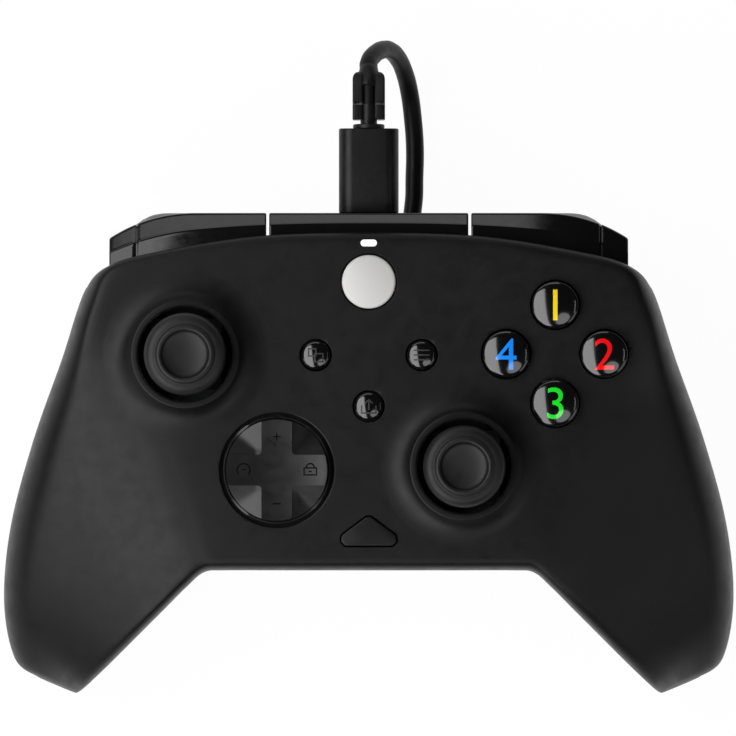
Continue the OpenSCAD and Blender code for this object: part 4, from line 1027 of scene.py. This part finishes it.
NUMERALS = {"top": "1", "right": "2", "bottom": "3", "left": "4"}
for key_side, figure in NUMERALS.items():
    key_at = face_key_at(key_side)
    key_name = f"{key_side}_button"
    key = key_shape(key_at, KEY_R, KEY_EDGE, KEY_DOME, STEM_LOW, KEY_STEM_R)
    finish_piece(f"{key_name}_dome", key, key_plastic, key_name, [key_name])
    ink = lay_on_dome(numeral(figure, NUMERAL_SIZE), key_at, KEY_R, KEY_EDGE, KEY_DOME)
    finish_piece(f"{key_name}_numeral", ink, numeral_inks[key_side], key_name)

disc = key_shape(GUIDE, GUIDE_R, GUIDE_EDGE, GUIDE_DOME, SWITCH_LOW, GUIDE_STEM_R)
finish_piece("guide_button_disc", disc, guide_plastic, "guide_button", ["guide_button"])


def stroke(points, width, closed=False):
    """A thin flat line along points, as narrow strips."""
    pairs = list(zip(points, points[1:])) + ([(points[-1], points[0])] if closed else [])
    strips = []
    for a, b in pairs:
        a, b = Vector(a), Vector(b)
        strip = bmesh.new()
        bmesh.ops.create_grid(strip, x_segments=1, y_segments=1, size=0.5)
        bmesh.ops.scale(strip, vec=((b - a).length + width * 0.9, width, 1), verts=strip.verts)
        angle = math.atan2(b.y - a.y, b.x - a.x)
        middle = (a + b) / 2
        turned_about(strip, Matrix.Translation((middle.x, middle.y, 0)) @ Matrix.Rotation(angle, 4, "Z"))
        strips.append(strip)
    return join(*strips)


def arc(centre, radius, start, end, steps=14):
    turns = [math.radians(mix(start, end, k / steps)) for k in range(steps + 1)]
    return [(centre[0] + radius * math.cos(a), centre[1] + radius * math.sin(a)) for a in turns]


# Plain signs of the small keys: strokes through points, closed or open
SYMBOL_W = 0.3
SYMBOLS = {
    "view": [([(-1.5, -0.2), (-1.5, 1.3), (0.0, 1.3), (0.0, -0.2)], True),
             ([(-0.2, -1.4), (-0.2, 0.3), (1.5, 0.3), (1.5, -1.4)], True)],
    "menu": [([(-1.5, y), (1.5, y)], False) for y in (1.0, 0.0, -1.0)],
    "share": [([(-1.5, 0.1), (-1.5, -1.4), (1.5, -1.4), (1.5, 0.1)], False),
              ([(0.0, -0.6), (0.0, 1.4)], False), ([(-0.7, 0.7), (0.0, 1.4), (0.7, 0.7)], False)],
}


def drawn(strokes, width):
    return join(*[stroke(points, width, closed) for points, closed in strokes])


for sign, key_at in SMALL_KEYS.items():
    key_name = f"{sign}_button"
    key = key_shape(key_at, SMALL_R, SMALL_EDGE, SMALL_DOME, STEM_LOW, SMALL_STEM_R)
    finish_piece(f"{key_name}_dome", key, key_plastic, key_name, [key_name])
    mark = lay_on_dome(drawn(SYMBOLS[sign], SYMBOL_W), key_at, SMALL_R, SMALL_EDGE, SMALL_DOME)
    finish_piece(f"{key_name}_mark", mark, pale_mark, key_name)


def make_function_key():
    body = prism(moved(triangle(0), FUNCTION), TAB_TOP - 0.1, FACE_Z + 0.6, 0.3, top_only=True)
    half_w, half_d = TRI_TAB
    tab = block((FUNCTION[0] - half_w, FUNCTION[1] - half_d, TAB_LOW),
                (FUNCTION[0] + half_w, FUNCTION[1] + half_d, TAB_TOP))
    stem = rod(TRI_STEM_R, SWITCH_LOW, TAB_TOP - 0.4, FUNCTION, 32)
    return finish_piece("function_button_key", join(body, tab, stem), function_plastic, "function_button",
                        ["function_button"])


make_function_key()

lens = prism(moved(pill(*LED_SIZE), LED), FACE_Z - LIP_T, FACE_Z + 0.15, 0.12, top_only=True)
finish_piece("led_lens_pill", lens, lens_plastic, "pad", ["led_lens"])

# Direction pad: a dished cross in a disc, with a sloping pit in each quarter
PAD_R = 10.6
COLLAR_R = 11.25
COLLAR_TOP = 45.9
PAD_LOW = BOARD_TOP + 7.4 + 1.8
DISH_R = 60.0
DISH_LOW = 46.7
ARM_HALF = 3.2
ARM_CORNER_R = 0.8
PLUNGER_OUT = 8.0
PLUNGER_R = 1.8
PLUNGER_LOW = 36.65
PIT_TOP = 46.75
PIT_START = 1.0
PIT_FALL = 0.26
PIT_CURVE = 0.05
PIT_BLEND = 0.3
PIT_REACH = 9.5


def dish_height(r):
    return DISH_LOW + DISH_R - math.sqrt(DISH_R ** 2 - r ** 2)


def pit_depth(u, v):
    """Depth of a pit: each slope steepens away from its arm, and they blend on the diagonal."""
    w = max(0.0, (u + v - math.hypot(u - v, PIT_BLEND * (u + v))) / 2)
    return PIT_FALL * w + PIT_CURVE * w * w


def pit(sx, sy):
    """A tool for one quarter's pit."""
    count = 20
    places = [0.0] + [mix(PIT_START, PIT_REACH, k / (count - 1)) for k in range(count)]
    bm = bmesh.new()
    bmesh.ops.create_grid(bm, x_segments=count, y_segments=count, size=1)
    for vert in bm.verts:
        u, v = (places[round((vert.co[axis] + 1) / 2 * count)] for axis in (0, 1))
        vert.co = (ARM_HALF + u, ARM_HALF + v, PIT_TOP - pit_depth(u, v))
    raised = bmesh.ops.extrude_face_region(bm, geom=bm.faces[:])
    for part in raised["geom"]:
        if isinstance(part, bmesh.types.BMVert):
            part.co.z = 60
    bmesh.ops.recalc_face_normals(bm, faces=bm.faces)
    upright = [e for e in bm.edges
               if all(max(abs(v.co.x - ARM_HALF), abs(v.co.y - ARM_HALF)) < 1e-6 for v in e.verts)]
    bmesh.ops.bevel(bm, geom=upright, offset=ARM_CORNER_R, offset_type="OFFSET", affect="EDGES", segments=5,
                    profile=0.5, material=-1)
    bmesh.ops.scale(bm, vec=(sx, sy, 1), verts=bm.verts)
    bmesh.ops.recalc_face_normals(bm, faces=bm.faces)
    bmesh.ops.translate(bm, vec=(DPAD[0], DPAD[1], 0), verts=bm.verts)
    return bm


def make_dpad():
    top = [(r, dish_height(r)) for r in (PAD_R * k / 16 * 0.985 for k in range(17))]
    rim = dish_height(PAD_R)
    side = [(PAD_R - 0.06, rim - 0.02), (PAD_R, rim - 0.12), (PAD_R, 44.6), (PAD_R + 0.2, 44.6),
            (PAD_R + 0.2, COLLAR_TOP - 0.15), (PAD_R + 0.32, COLLAR_TOP), (COLLAR_R - 0.15, COLLAR_TOP),
            (COLLAR_R, COLLAR_TOP - 0.15), (COLLAR_R, UNDER_FACE - 1.8), (12.9, UNDER_FACE - 1.8),
            (12.9, PAD_LOW), (0, PAD_LOW)]
    body = turned(top + side, DPAD, 144)
    body = carve(body, join(*[pit(sx, sy) for sx in (-1, 1) for sy in (-1, 1)]))
    foot, root = BOARD_TOP + 8.1, PAD_LOW + 0.4
    stem = turned_ring([(1.9, foot), (2.6, foot), (2.6, root), (1.9, root)], DPAD, 32)
    plungers = [rod(PLUNGER_R, PLUNGER_LOW, root, (DPAD[0] + PLUNGER_OUT * dx, DPAD[1] + PLUNGER_OUT * dy))
                for dx, dy in FACE_KEYS.values()]
    return finish_piece("dpad_cap_cross", join(body, stem, *plungers), pad_plastic, "dpad", ["dpad_cap"],
                        28, weighted=True)


make_dpad()

DPAD_MARK_W = 0.26
DPAD_MARKS = [
    ([(0.0, 6.3), (0.0, 7.7)], False), ([(-0.7, 7.0), (0.7, 7.0)], False),
    ([(-0.7, -7.0), (0.7, -7.0)], False),
    (arc((-6.9, 0.0), 1.35, -40, 220), False), ([(-7.2, 0.1), (-6.6, 0.1)], False),
    ([(5.7, -1.0), (8.3, -1.0), (8.3, 0.45), (5.7, 0.45)], True), (arc((7.0, 0.5), 0.85, 0, 180), False),
    ([(6.8, -0.3), (7.2, -0.3)], False),
]


def make_dpad_marks():
    lines = drawn(DPAD_MARKS, DPAD_MARK_W)
    for vert in lines.verts:
        vert.co.z = dish_height(math.hypot(vert.co.x, vert.co.y)) + 0.03
    bmesh.ops.translate(lines, vec=(DPAD[0], DPAD[1], 0), verts=lines.verts)
    return finish_piece("dpad_marks", lines, mark_plastic, "dpad")


make_dpad_marks()

# Plug at the pad and its strain relief
PLUG_FRONT = 50.25
PLUG_L = 17.75
PLUG_W = 12.5
PLUG_H = 6.4
PLUG_R = 2.9
# Angle along the bend and radius of the relief's core
RELIEF_CORE = [(0, 3.1), (0.4, 3.3), (2.3, 3.3), (2.7, 3.1), (3.0, 1.75), (15.6, 1.75), (16.0, 1.4),
               (28.8, 1.4), (29.3, 1.95), (29.8, 2.05), (43.0, 2.05), (45.0, 1.95)]
# Angle along the bend, reach aside and half height of the fins
RELIEF_FINS = [[(6.0, 3.2, 1.5), (6.4, 3.4, 1.65), (14.9, 3.4, 1.65), (15.3, 3.2, 1.5)],
               [(17.0, 3.2, 1.5), (17.4, 3.4, 1.65), (34.0, 3.4, 1.65), (36.6, 3.25, 1.6),
                (38.6, 2.9, 1.45), (39.8, 2.4, 1.2)]]
FIN_IN = 1.2
FIN_ROUND = 0.42

plug = along_y(round_box(PLUG_W, PLUG_H, PLUG_R, 12), PLUG_FRONT, PLUG_FRONT + PLUG_L, 0.35, (0, USB_Z))
finish_piece("plug_body_shell", plug, plug_plastic, "pad", ["plug_body"])


def bent(angle, x, z):
    """A place on the relief's bend, aside by x and out of the bend by z."""
    a = math.radians(angle)
    return relief_at(angle) + Vector((x, z * math.sin(a), z * math.cos(a)))


def make_relief():
    turns = [2 * math.pi * k / 48 for k in range(48)]
    shapes = [skin([[bent(angle, r * math.cos(t), r * math.sin(t)) for t in turns]
                    for angle, r in RELIEF_CORE])]
    for fin in RELIEF_FINS:
        for side in (-1, 1):
            rings = []
            for angle, reach, half in fin:
                outline = round_box(reach - FIN_IN, 2 * half, FIN_ROUND, 4, ((reach + FIN_IN) / 2, 0.0))
                rings.append([bent(angle, side * x, z) for x, z in outline])
            shapes.append(skin(rings))
    return finish_piece("strain_relief_sleeve", join(*shapes), plug_plastic, "pad", ["strain_relief"])


make_relief()

# Screws, seen from below in their holes: a head with a cross in it, and the shank
SCREW_LOW = 21.0
# Radius and height above the head's low side
SCREW_PROFILE = [(0, 0.35), (0.45, 0.35), (0.75, 0.1), (1.6, 0), (2.05, 0.25), (2.2, 0.7), (2.2, 2),
                 (1.2, 2), (1.2, 18.8), (0, 19)]
CROSS_LONG = 1.25
CROSS_NARROW = 0.28
CROSS_Z = (-0.05, 0.12)


def make_screws():
    shapes = []
    for x, y in SCREWS:
        shapes.append(turned([(r, SCREW_LOW + z) for r, z in SCREW_PROFILE], (x, y), 40))
        for w, d in ((CROSS_LONG, CROSS_NARROW), (CROSS_NARROW, CROSS_LONG)):
            low, high = (SCREW_LOW + z for z in CROSS_Z)
            shapes.append(block((x - w, y - d, low), (x + w, y + d, high), 0.05))
    return finish_piece("shell_screw_set", join(*shapes), dark_steel, "pad", ["shell_screws"])


make_screws()

# Finishes of the nodes that keep their own shapes
NODE_FINISH = {
    steel: ["left_trigger_pin", "right_trigger_pin", "left_trigger_spring", "right_trigger_spring",
            "usb_socket", "plug_tip", "far_plug_shell", "left_rumble_motor", "right_rumble_motor",
            "left_stick_shaft", "right_stick_shaft", "dpad_ball"],
    base_plastic: ["left_stick_base", "right_stick_base"],
    dark_steel: ["left_rumble_weight", "right_rumble_weight", "board_screws"],
    frame_plastic: ["mid_frame", "tact_switches", "headset_jack", "left_stick_pivot", "right_stick_pivot"],
    pale_plastic: ["left_stick_yoke", "right_stick_yoke", "dpad_post"],
    silicone: ["dpad_membrane", "face_membrane", "center_membrane"],
    laminate: ["main_board"],
    tie_strap: ["coil_tie"],
}
for finish, names in NODE_FINISH.items():
    for name in names:
        slots = cad_nodes[name].data.materials
        slots.clear()
        slots.append(finish)

# Floor, world and lamps


def make_floor():
    bm = bmesh.new()
    bmesh.ops.create_grid(bm, x_segments=1, y_segments=1, size=15)
    floor = as_object(bm, "studio_floor")
    material, tree, shader = new_material("pale_floor")
    shader.inputs["Base Color"].default_value = (0.92, 0.92, 0.92, 1)
    shader.inputs["Roughness"].default_value = 0.9
    shader.inputs["Specular IOR Level"].default_value = 0.0
    glow = tree.nodes.new("ShaderNodeEmission")
    glow.inputs["Color"].default_value = (1, 1, 1, 1)
    glow.inputs["Strength"].default_value = 1.0
    path = tree.nodes.new("ShaderNodeLightPath")
    seen = path.outputs["Is Camera Ray"]
    for other in ("Is Glossy Ray", "Is Transmission Ray"):
        either = tree.nodes.new("ShaderNodeMath")
        either.operation = "MAXIMUM"
        tree.links.new(seen, either.inputs[0])
        tree.links.new(path.outputs[other], either.inputs[1])
        seen = either.outputs[0]
    share = tree.nodes.new("ShaderNodeMath")
    share.operation = "MULTIPLY"
    share.inputs[1].default_value = 0.97
    tree.links.new(seen, share.inputs[0])
    blend = tree.nodes.new("ShaderNodeMixShader")
    tree.links.new(share.outputs[0], blend.inputs["Fac"])
    tree.links.new(shader.outputs["BSDF"], blend.inputs[1])
    tree.links.new(glow.outputs["Emission"], blend.inputs[2])
    tree.links.new(blend.outputs["Shader"], tree.nodes["Material Output"].inputs["Surface"])
    floor.data.materials.append(material)


make_floor()

world = bpy.data.worlds.new("studio")
scene.world = world
world.use_nodes = True
world.node_tree.nodes["Background"].inputs["Color"].default_value = (0.04, 0.04, 0.04, 1)


def softbox(name, place, target, size, power, shape="RECTANGLE"):
    lamp = bpy.data.lights.new(name, "AREA")
    lamp.shape = shape
    lamp.size, lamp.size_y = size
    lamp.energy = power
    thing = bpy.data.objects.new(name, lamp)
    thing.location = place
    way = Vector(target) - Vector(place)
    thing.rotation_euler = way.to_track_quat("-Z", "Y").to_euler()
    scene.collection.objects.link(thing)


# Name, place, what it points at, size and power of each lamp, and its shape if it is no rectangle
SOFTBOXES = [
    ("left_softbox", (-0.25, -0.13, 0.42), (0.0, -0.1, 0.04), (1.0, 0.32), 4.4),
    ("front_softbox", (0.17, -0.21, 0.43), (0.04, 0.02, 0.04), (0.26, 0.22), 0.37, "ELLIPSE"),
    ("low_left_softbox", (-0.62, -0.37, 0.38), (-0.03, -0.03, 0.03), (0.42, 0.3), 0.95),
    ("low_right_softbox", (0.62, -0.37, 0.38), (0.03, -0.03, 0.03), (0.42, 0.3), 0.5),
    ("rear_softbox", (-0.225, 0.62, 0.33), (-0.225, 0.05, 0.04), (0.75, 0.16), 0.83),
    ("right_strip_lamp", (0.45, 0.0, 0.43), (0.04, 0.02, 0.04), (0.25, 0.02), 0.08),
]
for lamp in SOFTBOXES:
    softbox(*lamp)
